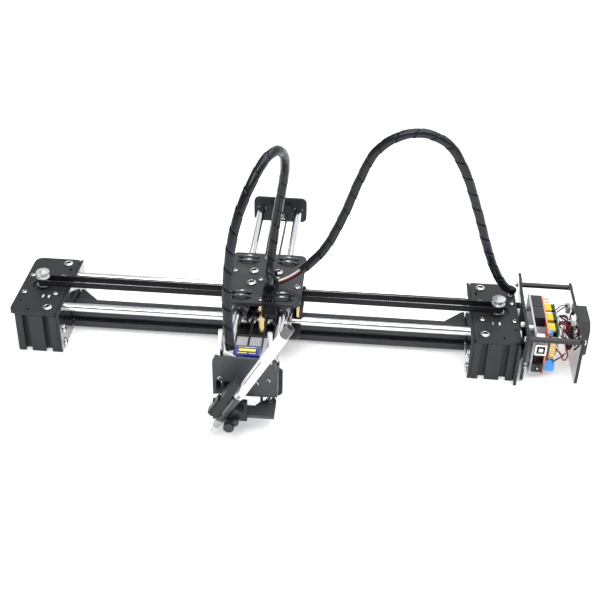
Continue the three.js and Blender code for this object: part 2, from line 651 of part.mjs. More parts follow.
const fanShape = new THREE.Shape();
fanShape.moveTo(-50, 2);
fanShape.lineTo(50, 2);
fanShape.lineTo(50, 51.5);
fanShape.lineTo(-50, 51.5);
fanShape.closePath();
roundHole(fanShape, 0, FAN_Z, 18.5, 40);
add('fan_plate', standAcrossX(slab(fanShape, 0, PLATE, 12), FAN_X), blackPlate);

for (const [row, y] of [['front', -47], ['rear', 47]]) {
  const start = BOARD_X + PLATE + GAP;
  add(`standoff_${row}`, rod('x', 3, FAN_X - GAP - start, start, y, 48, 6), blackPlate);
}

const boardBack = BOARD_X + PLATE + 5.5;
const boardY0 = -43.6;
const boardY1 = 25;
const controller = [box(boardBack, boardBack + 1.6, boardY0, boardY1, 2, 54)];
controller.push(box(boardBack + 1, boardBack + 12, boardY0 - 5, boardY0 + 11, 31, 43));
controller.push(box(boardBack + 1, boardBack + 12, boardY0 - 2, boardY0 + 12, 9, 18));
controller.push(box(boardBack + 1, boardBack + 9.5, -18, 22, 50.5, 53.1));
controller.push(box(boardBack + 1, boardBack + 9.5, -14, 22, 4.6, 7.2));
for (const [y, z] of [[-32, 51], [-30, 6], [19, 38], [19, 14]]) {
  controller.push(rod('x', 2.6, 6, BOARD_X + PLATE + GAP, y, z, 12));
}
add('controller_board', combine(controller), boardTeal);

const shieldX = boardBack + 12.6;
const shield = [box(shieldX, shieldX + 1.6, boardY0 + 2, boardY1, 2, 52)];
shield.push(box(shieldX + 1, shieldX + 11, boardY0 + 2.6, boardY0 + 13, 8, 20));
for (const y of [-24, -6, 12]) {
  for (const z of [29, 44.5]) {
    shield.push(box(shieldX + 1, shieldX + 9, y - 6.5, y + 6.5, z - 7, z + 7));
  }
}
add('stepper_shield', combine(shield), shieldRed);

const fanFrameX = FAN_X + PLATE + GAP;
const frameShape = choppedSquare(FAN_SIZE / 2, 6);
roundHole(frameShape, 0, 0, 18.5, 40);
const framePieces = [slab(frameShape, 0, FAN_DEPTH, 12), rod('z', 7, 1.4, 0, 0, 0, 24)];
for (let i = 0; i < 3; i += 1) {
  framePieces.push(box(5, 19.2, -1.2, 1.2, 0, 1.4).rotateZ((i * 2 * Math.PI) / 3));
}
framePieces.push(rod('z', 1.5, 6, 0, 0, 0.5, 12));
const fanFrame = combine(framePieces).rotateX(Math.PI / 2).rotateZ(Math.PI / 2);
add('fan_frame', fanFrame.translate(fanFrameX, 0, FAN_Z), fanPlastic);

const rotorPieces = [rod('z', 8, 6.6, 0, 0, 1.9, 24)];
for (let i = 0; i < 7; i += 1) {
  const blade = box(6.5, 17.6, -0.6, 0.6, -2.9, 2.9);
  blade.rotateX(0.75);
  blade.translate(0, 0, 5.4);
  rotorPieces.push(blade.rotateZ((i * 2 * Math.PI) / 7));
}
const rotorBore = rod('z', 1.8, 6, 0, 0, 1, 12);
const rotor = combine(rotorPieces, [rotorBore]).rotateX(Math.PI / 2).rotateZ(Math.PI / 2);
add('fan_rotor', rotor.translate(fanFrameX, 0, FAN_Z), fanPlastic);

// ---- Cables -------------------------------------------------------------------------------------
function cable(name, radius, points, steps) {
  const curve = new THREE.CatmullRomCurve3(points.map(([x, y, z]) => new THREE.Vector3(x, y, z)));
  const ring = new THREE.Shape();
  ring.absarc(0, 0, radius, 0, 2 * Math.PI, false);
  const settings = { steps, extrudePath: curve, curveSegments: 5, bevelEnabled: false };
  add(name, new THREE.ExtrudeGeometry(ring, settings), cableWrap);
  return curve.getLength();
}
const cableR = 4.6;
cable('cable_head', cableR, [
  [3.6, -33, 78.6], [3.2, -21, 79.7], [2.6, -11.5, 88], [4.4, -5, 105], [8.4, -2.5, 140],
  [14, -10, 176], [17, -22, 202], [16.5, -36, 220], [12, -52, 231], [4, -68, 230], [-5.5, -84, 216],
  [-14.6, -96, 194], [-20.6, -104, 168], [-23.2, -110, 140], [-24, -114, 118], [-22.6, -119.6, 92],
  [-20.5, -124.5, 72.6],
], 72);
cable('cable_base', cableR, [
  [12, -14.4, 73.8], [22.4, -10.5, 77.4], [35.8, -7, 87], [54, -3, 107], [71, 1, 143], [83.5, 3, 179],
  [97, 4, 208], [117, 4, 224], [139, 4, 228], [161, 4, 218.5], [177.5, 5, 194], [194, 8, 152], [207, 12, 113],
  [218.8, 18, 82], [231.5, 24, 60], [241, 28.6, 51.8],
], 84);

// ---- Origin: middle of the footprint on the floor ------------------------------------------------
part.updateMatrixWorld(true);
const bounds = new THREE.Box3();
for (const child of part.children) {
  if (!child.name.startsWith('cable_') || child.name === 'cable_clamp') {
    bounds.expandByObject(child);
  }
}
const middle = bounds.getCenter(new THREE.Vector3());
for (const child of part.children) {
  child.position.set(-middle.x, -middle.y, -bounds.min.z);
}

export default part;
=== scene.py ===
"""Looks of the desktop XY pen plotter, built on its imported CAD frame.

Lengths are in millimetres until they reach Blender, which is in metres. Points are measured from
the middle between the two motor axes on the floor, with +X along the long axis and the pen at -Y.
"""

import math

import bmesh
import bpy
from mathutils import Matrix, Vector


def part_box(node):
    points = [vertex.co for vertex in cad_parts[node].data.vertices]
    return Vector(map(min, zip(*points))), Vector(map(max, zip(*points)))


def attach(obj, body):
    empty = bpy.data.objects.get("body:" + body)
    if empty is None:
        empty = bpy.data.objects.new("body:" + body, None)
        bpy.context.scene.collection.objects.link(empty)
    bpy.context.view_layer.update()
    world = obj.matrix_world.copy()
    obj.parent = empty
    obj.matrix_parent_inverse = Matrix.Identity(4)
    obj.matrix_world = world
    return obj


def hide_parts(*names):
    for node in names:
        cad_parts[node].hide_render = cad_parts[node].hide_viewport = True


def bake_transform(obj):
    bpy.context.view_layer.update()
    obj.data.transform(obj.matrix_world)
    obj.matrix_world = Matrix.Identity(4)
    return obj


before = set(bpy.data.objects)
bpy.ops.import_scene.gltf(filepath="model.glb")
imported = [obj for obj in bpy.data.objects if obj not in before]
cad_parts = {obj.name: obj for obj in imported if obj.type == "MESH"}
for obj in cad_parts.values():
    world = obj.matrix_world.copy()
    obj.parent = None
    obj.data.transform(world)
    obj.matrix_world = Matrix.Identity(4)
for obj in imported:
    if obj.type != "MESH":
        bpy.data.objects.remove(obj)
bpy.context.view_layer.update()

# ---- Places and sizes ------------------------------------------------------------------------------
MM = 0.001


def middle(node):
    low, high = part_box(node)
    return (low + high) / 2


hub_left, hub_right = middle("pulley_left"), middle("pulley_right")
ORIGIN = Vector(((hub_left.x + hub_right.x) / 2, (hub_left.y + hub_right.y) / 2, 0))
MOTOR_X = (hub_right.x - hub_left.x) / 2 / MM
ARM_X = (middle("idler_arm").x - ORIGIN.x) / MM
DECK_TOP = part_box("deck_left")[1].z / MM
CARRIAGE_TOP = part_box("carriage_top")[1].z / MM
LEG_Y = 40
MOTOR_SCREW = 15.5      # half of the motors' screw square
END_PLATE_X = 27.6      # inner face of an end plate, from its motor's axis
IDLER_X = 12
IDLER_Y = 10.7
BELT_Y = 5.1
BELT_Z = 47
BELT_HEIGHT = 6
TOOTH_PITCH = 2.0
BELT_STEP = 0.25
STRAND_X = IDLER_X - (IDLER_Y - BELT_Y)
REAR_STRAND_X = 8
Y_ROD_X = 20
CABLE_R = 4.6
CABLE_STEP = 0.75
WRAP_PITCH = 17.5
WRAP_LAP = 0.45         # how far one turn of the wrap lies above the next
SEAM_DEPTH = 0.8
SEAM_SHARE = 0.05       # share of a turn over which the wrap dips into its seam
SEAM_SHADE_SHARE = 0.032    # share of a turn that gets the seam's painted shade
BARE_CORE_R = 1.35


def at(x, y, z):
    return Vector((ORIGIN.x + x * MM, ORIGIN.y + y * MM, z * MM))


def place(node):
    """Lowest and highest corner of a CAD node, in this script's millimetres."""
    low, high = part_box(node)
    return [(corner - ORIGIN) / MM for corner in (low, high)]


# ---- Camera, light and floor -----------------------------------------------------------------------
def make_camera():
    yaw, pitch, roll = 0.067, 0.591, 0.023
    forward = Vector((-math.sin(yaw) * math.cos(pitch), math.cos(yaw) * math.cos(pitch), -math.sin(pitch)))
    level = Vector((math.cos(yaw), math.sin(yaw), 0))
    above = level.cross(forward)
    right = math.cos(roll) * level + math.sin(roll) * above
    up = -math.sin(roll) * level + math.cos(roll) * above
    data = bpy.data.cameras.new("camera")
    data.sensor_width = 36
    data.lens = 64.76
    data.clip_start = 0.01
    data.clip_end = 50
    camera = bpy.data.objects.new("camera", data)
    bpy.context.scene.collection.objects.link(camera)
    turn = Matrix((right, up, -forward)).transposed().to_4x4()
    camera.matrix_world = Matrix.Translation(at(90.6, -880.4, 637.0)) @ turn
    bpy.context.scene.camera = camera


def area_light(name, place_at, target, size, power):
    data = bpy.data.lights.new(name, "AREA")
    data.shape = "RECTANGLE"
    data.size, data.size_y = size
    data.energy = power
    light = bpy.data.objects.new(name, data)
    bpy.context.scene.collection.objects.link(light)
    light.location = place_at
    light.rotation_euler = (Vector(target) - Vector(place_at)).to_track_quat("-Z", "Y").to_euler()


def make_sky():
    """A soft sky: bright behind, overhead and at the horizon, and darker half way up in front."""
    world = bpy.data.worlds.new("studio")
    world.use_nodes = True
    nodes, links = world.node_tree.nodes, world.node_tree.links
    direction = nodes.new("ShaderNodeTexCoord")
    split = nodes.new("ShaderNodeSeparateXYZ")
    links.new(direction.outputs["Generated"], split.inputs["Vector"])
    ramp = nodes.new("ShaderNodeValToRGB")
    links.new(split.outputs["Z"], ramp.inputs["Fac"])
    stops = ramp.color_ramp.elements
    stops[0].position, stops[0].color = 0.0, (0.92, 0.93, 0.95, 1)
    stops[1].position, stops[1].color = 1.0, (1.0, 1.0, 1.0, 1)
    for position, grey in ((0.10, 0.75), (0.28, 0.36), (0.45, 0.10), (0.62, 0.26), (0.80, 0.75)):
        stops.new(position).color = (grey * 0.97, grey * 0.98, grey, 1)
    lean = nodes.new("ShaderNodeVectorMath")
    lean.operation = "DOT_PRODUCT"
    lean.inputs[1].default_value = (0.6, 0.8, 0.0)
    links.new(direction.outputs["Generated"], lean.inputs[0])
    behind = nodes.new("ShaderNodeMapRange")
    behind.interpolation_type = "SMOOTHSTEP"
    behind.inputs["From Min"].default_value = 0.32
    behind.inputs["From Max"].default_value = 0.62
    links.new(lean.outputs["Value"], behind.inputs["Value"])
    mix = nodes.new("ShaderNodeMix")
    mix.data_type = "RGBA"
    links.new(behind.outputs["Result"], mix.inputs["Factor"])
    links.new(ramp.outputs["Color"], mix.inputs["A"])
    mix.inputs["B"].default_value = (0.97, 0.98, 1.0, 1)
    links.new(mix.outputs["Result"], nodes["Background"].inputs["Color"])
    nodes["Background"].inputs["Strength"].default_value = 0.95
    bpy.context.scene.world = world


def make_stage():
    make_sky()
    bpy.context.scene.view_settings.view_transform = "Standard"
    area_light("overhead", (0.3, 0.05, 1.6), (0.1, 0, 0), (2.0, 1.2), 17)
    area_light("front", (-0.5, -1.2, 1.9), (0, 0, 0.05), (1.2, 0.8), 14)
    area_light("side", (1.5, -0.2, 1.5), (0.1, 0, 0.05), (0.8, 0.8), 5)
    # A small lamp behind the machine, for the glints on the flat crowns of the zip ties.
    area_light("glint", (-0.15, 1.34, 0.93), (0, 0, 0.07), (0.2, 0.12), 0.55)
    # The floor glows a little, like a light table, so that no deep shadow falls between the parts.
    mesh = bpy.data.meshes.new("floor")
    half, below = 6.0, -0.0002
    corners = [(-half, -half, below), (half, -half, below), (half, half, below), (-half, half, below)]
    mesh.from_pydata(corners, [], [(0, 1, 2, 3)])
    mesh.materials.append(surface("light_table", (0.93, 0.93, 0.93), 0.75, vary=0.01, grain=60, bump=0.01,
                                  Emission_Color=(1, 1, 1, 1), Emission_Strength=0.4))
    floor = bpy.data.objects.new("floor", mesh)
    bpy.context.scene.collection.objects.link(floor)


# ---- Materials -------------------------------------------------------------------------------------
def surface(name, colour, roughness, metallic=0.0, *, vary=0.12, grain=900, stretch=(1, 1, 1), bump=0.08,
            rough_vary=0.06, smudge=22, mottle=None, **constants):
    """Principled material with a grained colour, broad smudges in its roughness and a fine bump.

    grain and smudge are noise scales per metre, stretch squeezes the grain into lines, and constants
    are sockets that hold one value all over, such as Coat_Weight.
    """
    material = bpy.data.materials.new(name)
    material.use_nodes = True
    nodes, links = material.node_tree.nodes, material.node_tree.links
    shader = nodes["Principled BSDF"]
    shader.inputs["Metallic"].default_value = metallic
    for key, value in constants.items():
        shader.inputs[key.replace("_", " ")].default_value = value

    coordinates = nodes.new("ShaderNodeTexCoord")
    mapping = nodes.new("ShaderNodeMapping")
    mapping.inputs["Scale"].default_value = stretch
    links.new(coordinates.outputs["Object"], mapping.inputs["Vector"])

    fine = nodes.new("ShaderNodeTexNoise")
    fine.inputs["Scale"].default_value = grain
    fine.inputs["Detail"].default_value = 5
    links.new(mapping.outputs["Vector"], fine.inputs["Vector"])

    ramp = nodes.new("ShaderNodeValToRGB")
    dark = [c * (1 - vary) for c in colour]
    light = [min(1.0, c * (1 + vary)) for c in (mottle or colour)]
    ramp.color_ramp.elements[0].position = 0.3
    ramp.color_ramp.elements[0].color = (*dark, 1)
    ramp.color_ramp.elements[1].position = 0.7
    ramp.color_ramp.elements[1].color = (*light, 1)
    links.new(fine.outputs["Fac"], ramp.inputs["Fac"])
    links.new(ramp.outputs["Color"], shader.inputs["Base Color"])

    broad = nodes.new("ShaderNodeTexNoise")
    broad.inputs["Scale"].default_value = smudge
    broad.inputs["Detail"].default_value = 3
    links.new(coordinates.outputs["Object"], broad.inputs["Vector"])
    spread = nodes.new("ShaderNodeMapRange")
    spread.inputs["From Min"].default_value = 0.3
    spread.inputs["From Max"].default_value = 0.7
    spread.inputs["To Min"].default_value = max(0.02, roughness - rough_vary)
    spread.inputs["To Max"].default_value = min(1.0, roughness + rough_vary)
    links.new(broad.outputs["Fac"], spread.inputs["Value"])
    links.new(spread.outputs["Result"], shader.inputs["Roughness"])

    relief = nodes.new("ShaderNodeBump")
    relief.inputs["Strength"].default_value = bump
    relief.inputs["Distance"].default_value = 0.0002
    links.new(fine.outputs["Fac"], relief.inputs["Height"])
    links.new(relief.outputs["Normal"], shader.inputs["Normal"])
    return material


def make_materials():
    return {
        "plate": surface("satin_black_plate", (0.019, 0.021, 0.025), 0.40, 0.0, vary=0.2, grain=2400,
                         bump=0.10, rough_vary=0.08, Specular_IOR_Level=0.34),
        "head": surface("satin_black_head", (0.058, 0.062, 0.072), 0.40, 0.0, vary=0.15, grain=2000, bump=0.08,
                        Specular_IOR_Level=0.4),
        "gloss": surface("gloss_black_plate", (0.014, 0.015, 0.018), 0.12, 0.0, vary=0.2, grain=900, bump=0.03,
                         rough_vary=0.05, Specular_IOR_Level=0.8, Coat_Weight=1.0, Coat_Roughness=0.05,
                         Coat_IOR=1.6),
        "profile_z": surface("black_anodised_upright", (0.038, 0.040, 0.045), 0.42, 0.35, vary=0.18, grain=1500,
                             stretch=(1, 1, 0.04), bump=0.10, Specular_IOR_Level=0.25),
        "profile_x": surface("black_anodised_beam", (0.048, 0.050, 0.056), 0.42, 0.35, vary=0.18, grain=1500,
                             stretch=(0.04, 1, 1), bump=0.10, Specular_IOR_Level=0.3),
        "chrome": surface("chrome", (0.78, 0.79, 0.81), 0.08, 1.0, vary=0.03, grain=300, stretch=(1, 1, 14),
                          bump=0.0006, rough_vary=0.03),
        "bearing": surface("bearing_steel", (0.50, 0.51, 0.53), 0.22, 1.0, vary=0.06, grain=1800,
                           stretch=(1, 1, 9), bump=0.04, rough_vary=0.05),
        "turned": surface("turned_aluminium", (0.84, 0.85, 0.86), 0.34, 1.0, vary=0.05, grain=2200,
                          stretch=(1, 1, 10), bump=0.06),
        "screw": surface("stainless_screw", (0.66, 0.66, 0.65), 0.20, 1.0, vary=0.08, grain=2600, bump=0.05,
                         rough_vary=0.07),
        # Painted shade: a near-black finish for the hollows of screw sockets and for the mouths of the USB socket,
        # jack and terminals, where shade falls.
        "socket_shade": surface("socket_shadow", (0.010, 0.010, 0.010), 0.6, vary=0.3, grain=3000,
                               Specular_IOR_Level=0.15),
        "brass": surface("brass", (0.62, 0.47, 0.22), 0.26, 1.0, vary=0.08, grain=1800, stretch=(1, 1, 0.1),
                         bump=0.05),
        "motor": surface("motor_laminations", (0.020, 0.020, 0.022), 0.42, 0.4, vary=0.25, grain=2600,
                         stretch=(0.05, 0.05, 1), bump=0.12),
        "belt": surface("belt_rubber", (0.010, 0.010, 0.012), 0.55, vary=0.3, grain=3600, bump=0.25,
                        rough_vary=0.1, Specular_IOR_Level=0.3),
        "wrap": surface("spiral_wrap_plastic", (0.008, 0.010, 0.015), 0.22, vary=0.2, grain=260, bump=0.05,
                        rough_vary=0.08, Specular_IOR_Level=0.38),
        # Painted shade: a near-black, matte finish for the narrow seam of the wrap, which darkens the groove where
        # shade falls.
        "painted_seam_shade": surface("spiral_wrap_seam", (0.004, 0.004, 0.005), 0.6, vary=0.2, grain=900,
                             Specular_IOR_Level=0.1),
        "sleeve": surface("cable_sleeve", (0.005, 0.005, 0.006), 0.6, vary=0.3, grain=1500, bump=0.2,
                          Specular_IOR_Level=0.2),
        "seal": surface("bearing_seal", (0.010, 0.010, 0.011), 0.5, vary=0.3, grain=1500, bump=0.1),
        "tie": surface("nylon_tie", (0.008, 0.008, 0.010), 0.14, vary=0.2, grain=1200, bump=0.03,
                       rough_vary=0.03, Coat_Weight=1.0, Coat_Roughness=0.08),
        "servo": surface("servo_blue", (0.020, 0.030, 0.36), 0.16, vary=0.12, grain=300, bump=0.03,
                         Coat_Weight=0.5, Transmission_Weight=0.35, IOR=1.49),
        "horn": surface("horn_nylon", (0.84, 0.84, 0.80), 0.38, vary=0.04, grain=700, bump=0.06,
                        Subsurface_Weight=0.15),
        "label_yellow": surface("label_yellow", (0.86, 0.78, 0.16), 0.4, vary=0.1, grain=1500, bump=0.04),
        "label_dark": surface("label_dark", (0.03, 0.03, 0.035), 0.4, vary=0.2, grain=1500, bump=0.04),
        "pen": surface("pen_barrel", (0.93, 0.94, 0.95), 0.15, vary=0.02, grain=400, bump=0.02, Coat_Weight=0.5),
        "pen_clear": surface("pen_clear", (0.92, 0.94, 0.96), 0.06, vary=0.02, grain=400, bump=0.02,
                             Transmission_Weight=0.85, IOR=1.49),
        # Painted highlight: a lighter grey for a strip along one side of the dark grip.
        "painted_grip_sheen": surface("pen_grip_painted_sheen", (0.15, 0.155, 0.16), 0.30, 0.0, vary=0.08, grain=900, bump=0.03),
        "pen_metal": surface("pen_collar_metal", (0.34, 0.34, 0.36), 0.18, 1.0, vary=0.1, grain=1200, bump=0.04),
        "pen_grip": surface("pen_grip", (0.045, 0.047, 0.052), 0.35, vary=0.2, grain=900, bump=0.15),
        "pen_end": surface("pen_smoked_end", (0.16, 0.16, 0.17), 0.18, vary=0.1, grain=700, bump=0.05,
                           Transmission_Weight=0.2, IOR=1.49),
        "pen_grey": surface("pen_grey", (0.30, 0.31, 0.33), 0.3, vary=0.1, grain=900, bump=0.05),
        "teal": surface("board_teal", (0.010, 0.085, 0.10), 0.30, vary=0.35, grain=420, bump=0.10,
                        mottle=(0.018, 0.12, 0.14)),
        "board_edge": surface("board_edge", (0.52, 0.56, 0.60), 0.5, vary=0.15, grain=1800),
        "red_edge": surface("shield_edge", (0.85, 0.27, 0.16), 0.5, vary=0.15, grain=1800),
        "red": surface("shield_red", (0.60, 0.055, 0.030), 0.34, vary=0.2, grain=420, bump=0.10,
                       mottle=(0.72, 0.10, 0.05)),
        "green": surface("driver_green", (0.030, 0.16, 0.075), 0.34, vary=0.25, grain=600, bump=0.08),
        "black": surface("black_moulding", (0.017, 0.018, 0.021), 0.38, vary=0.2, grain=1600, bump=0.08),
        "yellow": surface("yellow_moulding", (0.80, 0.56, 0.015), 0.34, vary=0.08, grain=900, bump=0.05),
        "blue": surface("blue_moulding", (0.06, 0.36, 0.92), 0.32, vary=0.08, grain=900, bump=0.05),
        "white": surface("white_nylon", (0.82, 0.82, 0.80), 0.4, vary=0.04, grain=900, bump=0.05),
        "gold": surface("gold_pins", (0.80, 0.58, 0.24), 0.25, 1.0, vary=0.1, grain=1200),
        "tin": surface("tin_shell", (0.82, 0.83, 0.84), 0.34, 1.0, vary=0.08, grain=1200, bump=0.08),
        "fan": surface("fan_plastic", (0.020, 0.020, 0.022), 0.40, vary=0.2, grain=1500, bump=0.10),
        "wire_red": surface("wire_red", (0.28, 0.012, 0.014), 0.35, vary=0.1, grain=900),
        "wire_black": surface("wire_black", (0.007, 0.007, 0.008), 0.40, vary=0.2, grain=900, Specular_IOR_Level=0.3),
        "wire_white": surface("wire_white", (0.80, 0.78, 0.76), 0.35, vary=0.05, grain=900),
    }


# ---- Mesh helpers ----------------------------------------------------------------------------------
def finish_piece(name, mesh, look, body, sharp=40):
    """Links a mesh as a named piece with its material, smooth shading and the body that it rides on."""
    mesh.materials.append(MATERIALS[look])
    mesh.shade_smooth()
    mesh.set_sharp_from_angle(angle=math.radians(sharp))
    piece = bpy.data.objects.new(name, mesh)
    bpy.context.scene.collection.objects.link(piece)
    if body:
        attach(piece, body)
    return piece


def mesh_of(name, points, faces):
    mesh = bpy.data.meshes.new(name)
    mesh.from_pydata([tuple(p) for p in points], [], faces)
    mesh.update()
    return mesh


def face_outwards(mesh):
    work = bmesh.new()
    work.from_mesh(mesh)
    bmesh.ops.recalc_face_normals(work, faces=work.faces)
    work.to_mesh(mesh)
    work.free()


def rings_mesh(name, rings, closed=False):
    """Joins rings of equal length, lowest first. Open stacks get flat caps, closed ones join end to start."""
    count = len(rings[0])
    points = [p for ring in rings for p in ring]
    faces = []
    last = len(rings) if closed else len(rings) - 1
    for i in range(last):
        low = i * count
        high = ((i + 1) % len(rings)) * count
        for k in range(count):
            n = (k + 1) % count
            faces.append((low + k, low + n, high + n, high + k))
    if not closed:
        faces.append(tuple(reversed(range(count))))
        faces.append(tuple(range(len(points) - count, len(points))))
    return mesh_of(name, points, faces)


def turn_to(axis):
    return Vector((0, 0, 1)).rotation_difference(Vector(axis)).to_matrix().to_4x4()


def turned(name, profile, where, axis, look, sides=40, body="base", closed=False, shape=None):
    """A turned piece: profile is (radius, height) in mm along the axis, from the point where."""
    rings = []
    for radius, height in profile:
        ring = []
        for k in range(sides):
            angle = 2 * math.pi * k / sides
            r = shape(radius, height, angle) if shape else radius
            ring.append(Vector((r * math.cos(angle), r * math.sin(angle), height)) * MM)
        rings.append(ring)
    mesh = rings_mesh(name, rings, closed)
    piece = finish_piece(name, mesh, look, None)
    piece.matrix_world = Matrix.Translation(at(*where)) @ turn_to(axis)
    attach(piece, body)
    return piece


def hexagon(radius, angle):
    return radius / math.cos((angle % (math.pi / 3)) - math.pi / 6)


def button_screw(name, where, axis, radius=4.75, height=2.4, body="base"):
    """Round-headed screw with a hexagonal socket; where is the point under the middle of its head."""
    socket = radius * 0.43
    deep = height * 0.25
    dome = [(radius * math.cos(a), height * (0.42 + 0.56 * math.sin(a))) for a in (0.0, 0.35, 0.65, 0.85)]
    profile = [(0.02, deep), (socket, deep), (socket, height * 0.9), (socket * 1.22, height * 0.98)]
    profile += list(reversed(dome))
    profile += [(radius, height * 0.1), (radius * 0.96, 0.0), (0.02, 0.0)]

    def shape(r, z, angle):
        return hexagon(r, angle) if abs(r - socket) < 1e-6 else r

    screw = turned(name, list(reversed(profile)), where, axis, "screw", 36, body, shape=shape)
    # The socket's floor and walls get the painted shade.
    screw.data.materials.append(MATERIALS["socket_shade"])
    for face in screw.data.polygons:
        corners = [screw.data.vertices[i].co / MM for i in face.vertices]
        if all(c.z > deep - 0.01 and c.xy.length < socket * 1.17 for c in corners):
            face.material_index = 1


def block(name, low, high, look, bevel=0.3, body="base", segments=2):
    """Box with rounded edges, from its lowest to its highest corner in mm."""
    low, high = at(*low), at(*high)
    work = bmesh.new()
    bmesh.ops.create_cube(work, size=1)
    for v in work.verts:
        v.co = Vector(((low[i] + high[i]) / 2 + v.co[i] * (high[i] - low[i]) for i in range(3)))
    reach = min(bevel * MM, min(high[i] - low[i] for i in range(3)) * 0.3)
    bmesh.ops.bevel(work, geom=list(work.edges), offset=reach, segments=segments, affect="EDGES", profile=0.6)
    mesh = bpy.data.meshes.new(name)
    work.to_mesh(mesh)
    work.free()
    finish_piece(name, mesh, look, body)


def tube_rings(path, radius_at, sides):
    """Rings round a path of points in metres, kept untwisted, with a radius from (distance, angle)."""
    rings = []
    normal = None
    travelled = 0.0
    for i, p in enumerate(path):
        ahead = path[min(i + 1, len(path) - 1)]
        behind = path[max(i - 1, 0)]
        tangent = (ahead - behind).normalized()
        if normal is None:
            start = Vector((0, 0, 1)) if abs(tangent.z) < 0.9 else Vector((1, 0, 0))
            normal = (start - tangent * start.dot(tangent)).normalized()
        else:
            travelled += (p - path[i - 1]).length
            normal = (normal - tangent * normal.dot(tangent)).normalized()
        across = tangent.cross(normal)
        ring = []
        for k in range(sides):
            angle = 2 * math.pi * k / sides
            r = radius_at(travelled, angle)
            ring.append(p + (normal * math.cos(angle) + across * math.sin(angle)) * r)
        rings.append(ring)
    return rings


def smooth_path(points, step):
    """Even points, step metres apart, on a curve through the given ones (centripetal spline)."""
    knots = [Vector(p) for p in points]
    padded = [2 * knots[0] - knots[1], *knots, 2 * knots[-1] - knots[-2]]
    dense = []
    for i in range(1, len(padded) - 2):
        p0, p1, p2, p3 = padded[i - 1 : i + 3]
        t0 = 0.0
        t1 = t0 + (p1 - p0).length ** 0.5
        t2 = t1 + (p2 - p1).length ** 0.5
        t3 = t2 + (p3 - p2).length ** 0.5
        for k in range(24):
            t = t1 + (t2 - t1) * k / 24
            a1 = p0.lerp(p1, (t - t0) / (t1 - t0))
            a2 = p1.lerp(p2, (t - t1) / (t2 - t1))
            a3 = p2.lerp(p3, (t - t2) / (t3 - t2))
            b1 = a1.lerp(a2, (t - t0) / (t2 - t0))
            b2 = a2.lerp(a3, (t - t1) / (t3 - t1))
            dense.append(b1.lerp(b2, (t - t1) / (t2 - t1)))
    dense.append(knots[-1])
    lengths = [0.0]
    for a, b in zip(dense, dense[1:]):
        lengths.append(lengths[-1] + (b - a).length)
    total = lengths[-1]
    count = max(4, round(total / step))
    even, j = [], 0
    for i in range(count + 1):
        goal = total * i / count
        while j < len(lengths) - 2 and lengths[j + 1] < goal:
            j += 1
        span = lengths[j + 1] - lengths[j]
        even.append(dense[j].lerp(dense[j + 1], min(1.0, (goal - lengths[j]) / span)))
    return even, total


# ---- Cables ----------------------------------------------------------------------------------------
HEAD_CABLE = [
    (3.6, -33, 78.6), (3.2, -21, 79.7), (2.6, -11.5, 88), (4.4, -5, 105), (8.4, -2.5, 140), (14, -10, 176),
    (17, -22, 202), (16.5, -36, 220), (12, -52, 231), (4, -68, 230), (-5.5, -84, 216), (-14.6, -96, 194),
    (-20.6, -104, 168), (-23.2, -110, 140), (-24, -114, 118), (-22.6, -119.6, 92), (-20.5, -124.5, 72.6),
]
BASE_CABLE = [
    (12, -14.4, 73.8), (22.4, -10.5, 77.4), (35.8, -7, 87), (54, -3, 107), (71, 1, 143), (83.5, 3, 179),
    (97, 4, 208), (117, 4, 224), (139, 4, 228), (161, 4, 218.5), (177.5, 5, 194), (194, 8, 152),
    (207, 12, 113), (218.8, 18, 82), (231.5, 24, 60), (241, 28.6, 51.8),
]


def wrapped_cable(name, route, bare=0.0):
    """A lead in flat spiral wrap: each turn overlaps the one before it, with a narrow open seam.

    The first bare millimetres are left unwrapped, with the loose wires of the lead in view.
    """
    path, length = smooth_path([at(*p) for p in route], CABLE_STEP * MM)
    if bare:
        around = tube_rings(path[: int(bare / CABLE_STEP) + 4], lambda s, a: 1.5 * MM, 5)
        for i, look in enumerate(("wire_white", "wire_red", "wire_black", "wire_white", "wire_white")):
            side = [ring[i] for ring in around]
            thick = 0.45 if look == "wire_red" else 1.0
            mesh = rings_mesh(f"{name}_strand_{i}", tube_rings(side, lambda s, a: thick * MM, 10))
            strand = finish_piece(f"{name}_strand_{i}", mesh, look, None)
            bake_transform(strand)

    def radius(travelled, angle):
        if travelled < bare * MM:
            return BARE_CORE_R * MM
        turn = (travelled / MM / WRAP_PITCH + angle / (2 * math.pi)) % 1.0
        seam = min(1.0, turn / SEAM_SHARE, (1.0 - turn) / SEAM_SHARE)
        lap = WRAP_LAP * (1.0 - turn)
        return (CABLE_R - SEAM_DEPTH * (1.0 - seam) - WRAP_LAP + lap) * MM

    sides = 36
    mesh = rings_mesh(name, tube_rings(path, radius, sides))
    piece = finish_piece(name, mesh, "wrap", None, sharp=55)
    # The seam is a real gap in the wrap; its faces get a painted shade, near-black and matte. The bare core gets the
    # same near-black material.
    mesh.materials.append(MATERIALS["painted_seam_shade"])
    step = length / MM / (len(path) - 1)
    for i in range((len(path) - 1) * sides):
        travelled, angle = (i // sides + 0.5) * step, (i % sides + 0.5) / sides
        turn = (travelled / WRAP_PITCH + angle) % 1.0
        if min(turn, 1.0 - turn) < SEAM_SHADE_SHARE or travelled < bare:
            mesh.polygons[i].material_index = 1
    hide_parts(name.replace("wrapped_", ""))
    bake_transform(piece)


def make_cables():
    wrapped_cable("wrapped_cable_head", HEAD_CABLE)
    wrapped_cable("wrapped_cable_base", BASE_CABLE,
                  bare=24)


def wire(name, points, look, diameter, body):
    """A thin insulated wire whose two ends go into the object."""
    path, length = smooth_path([at(*p) for p in points], 0.8 * MM)
    mesh = rings_mesh(name, tube_rings(path, lambda s, a: diameter / 2 * MM, 10))
    piece = finish_piece(name, mesh, look, body)


# ---- Toothed belt ----------------------------------------------------------------------------------
def arc(cx, cy, radius, start, stop, steps):
    angles = [math.radians(start + (stop - start) * i / steps) for i in range(steps + 1)]
    return [(cx + radius * math.cos(a), cy + radius * math.sin(a)) for a in angles]


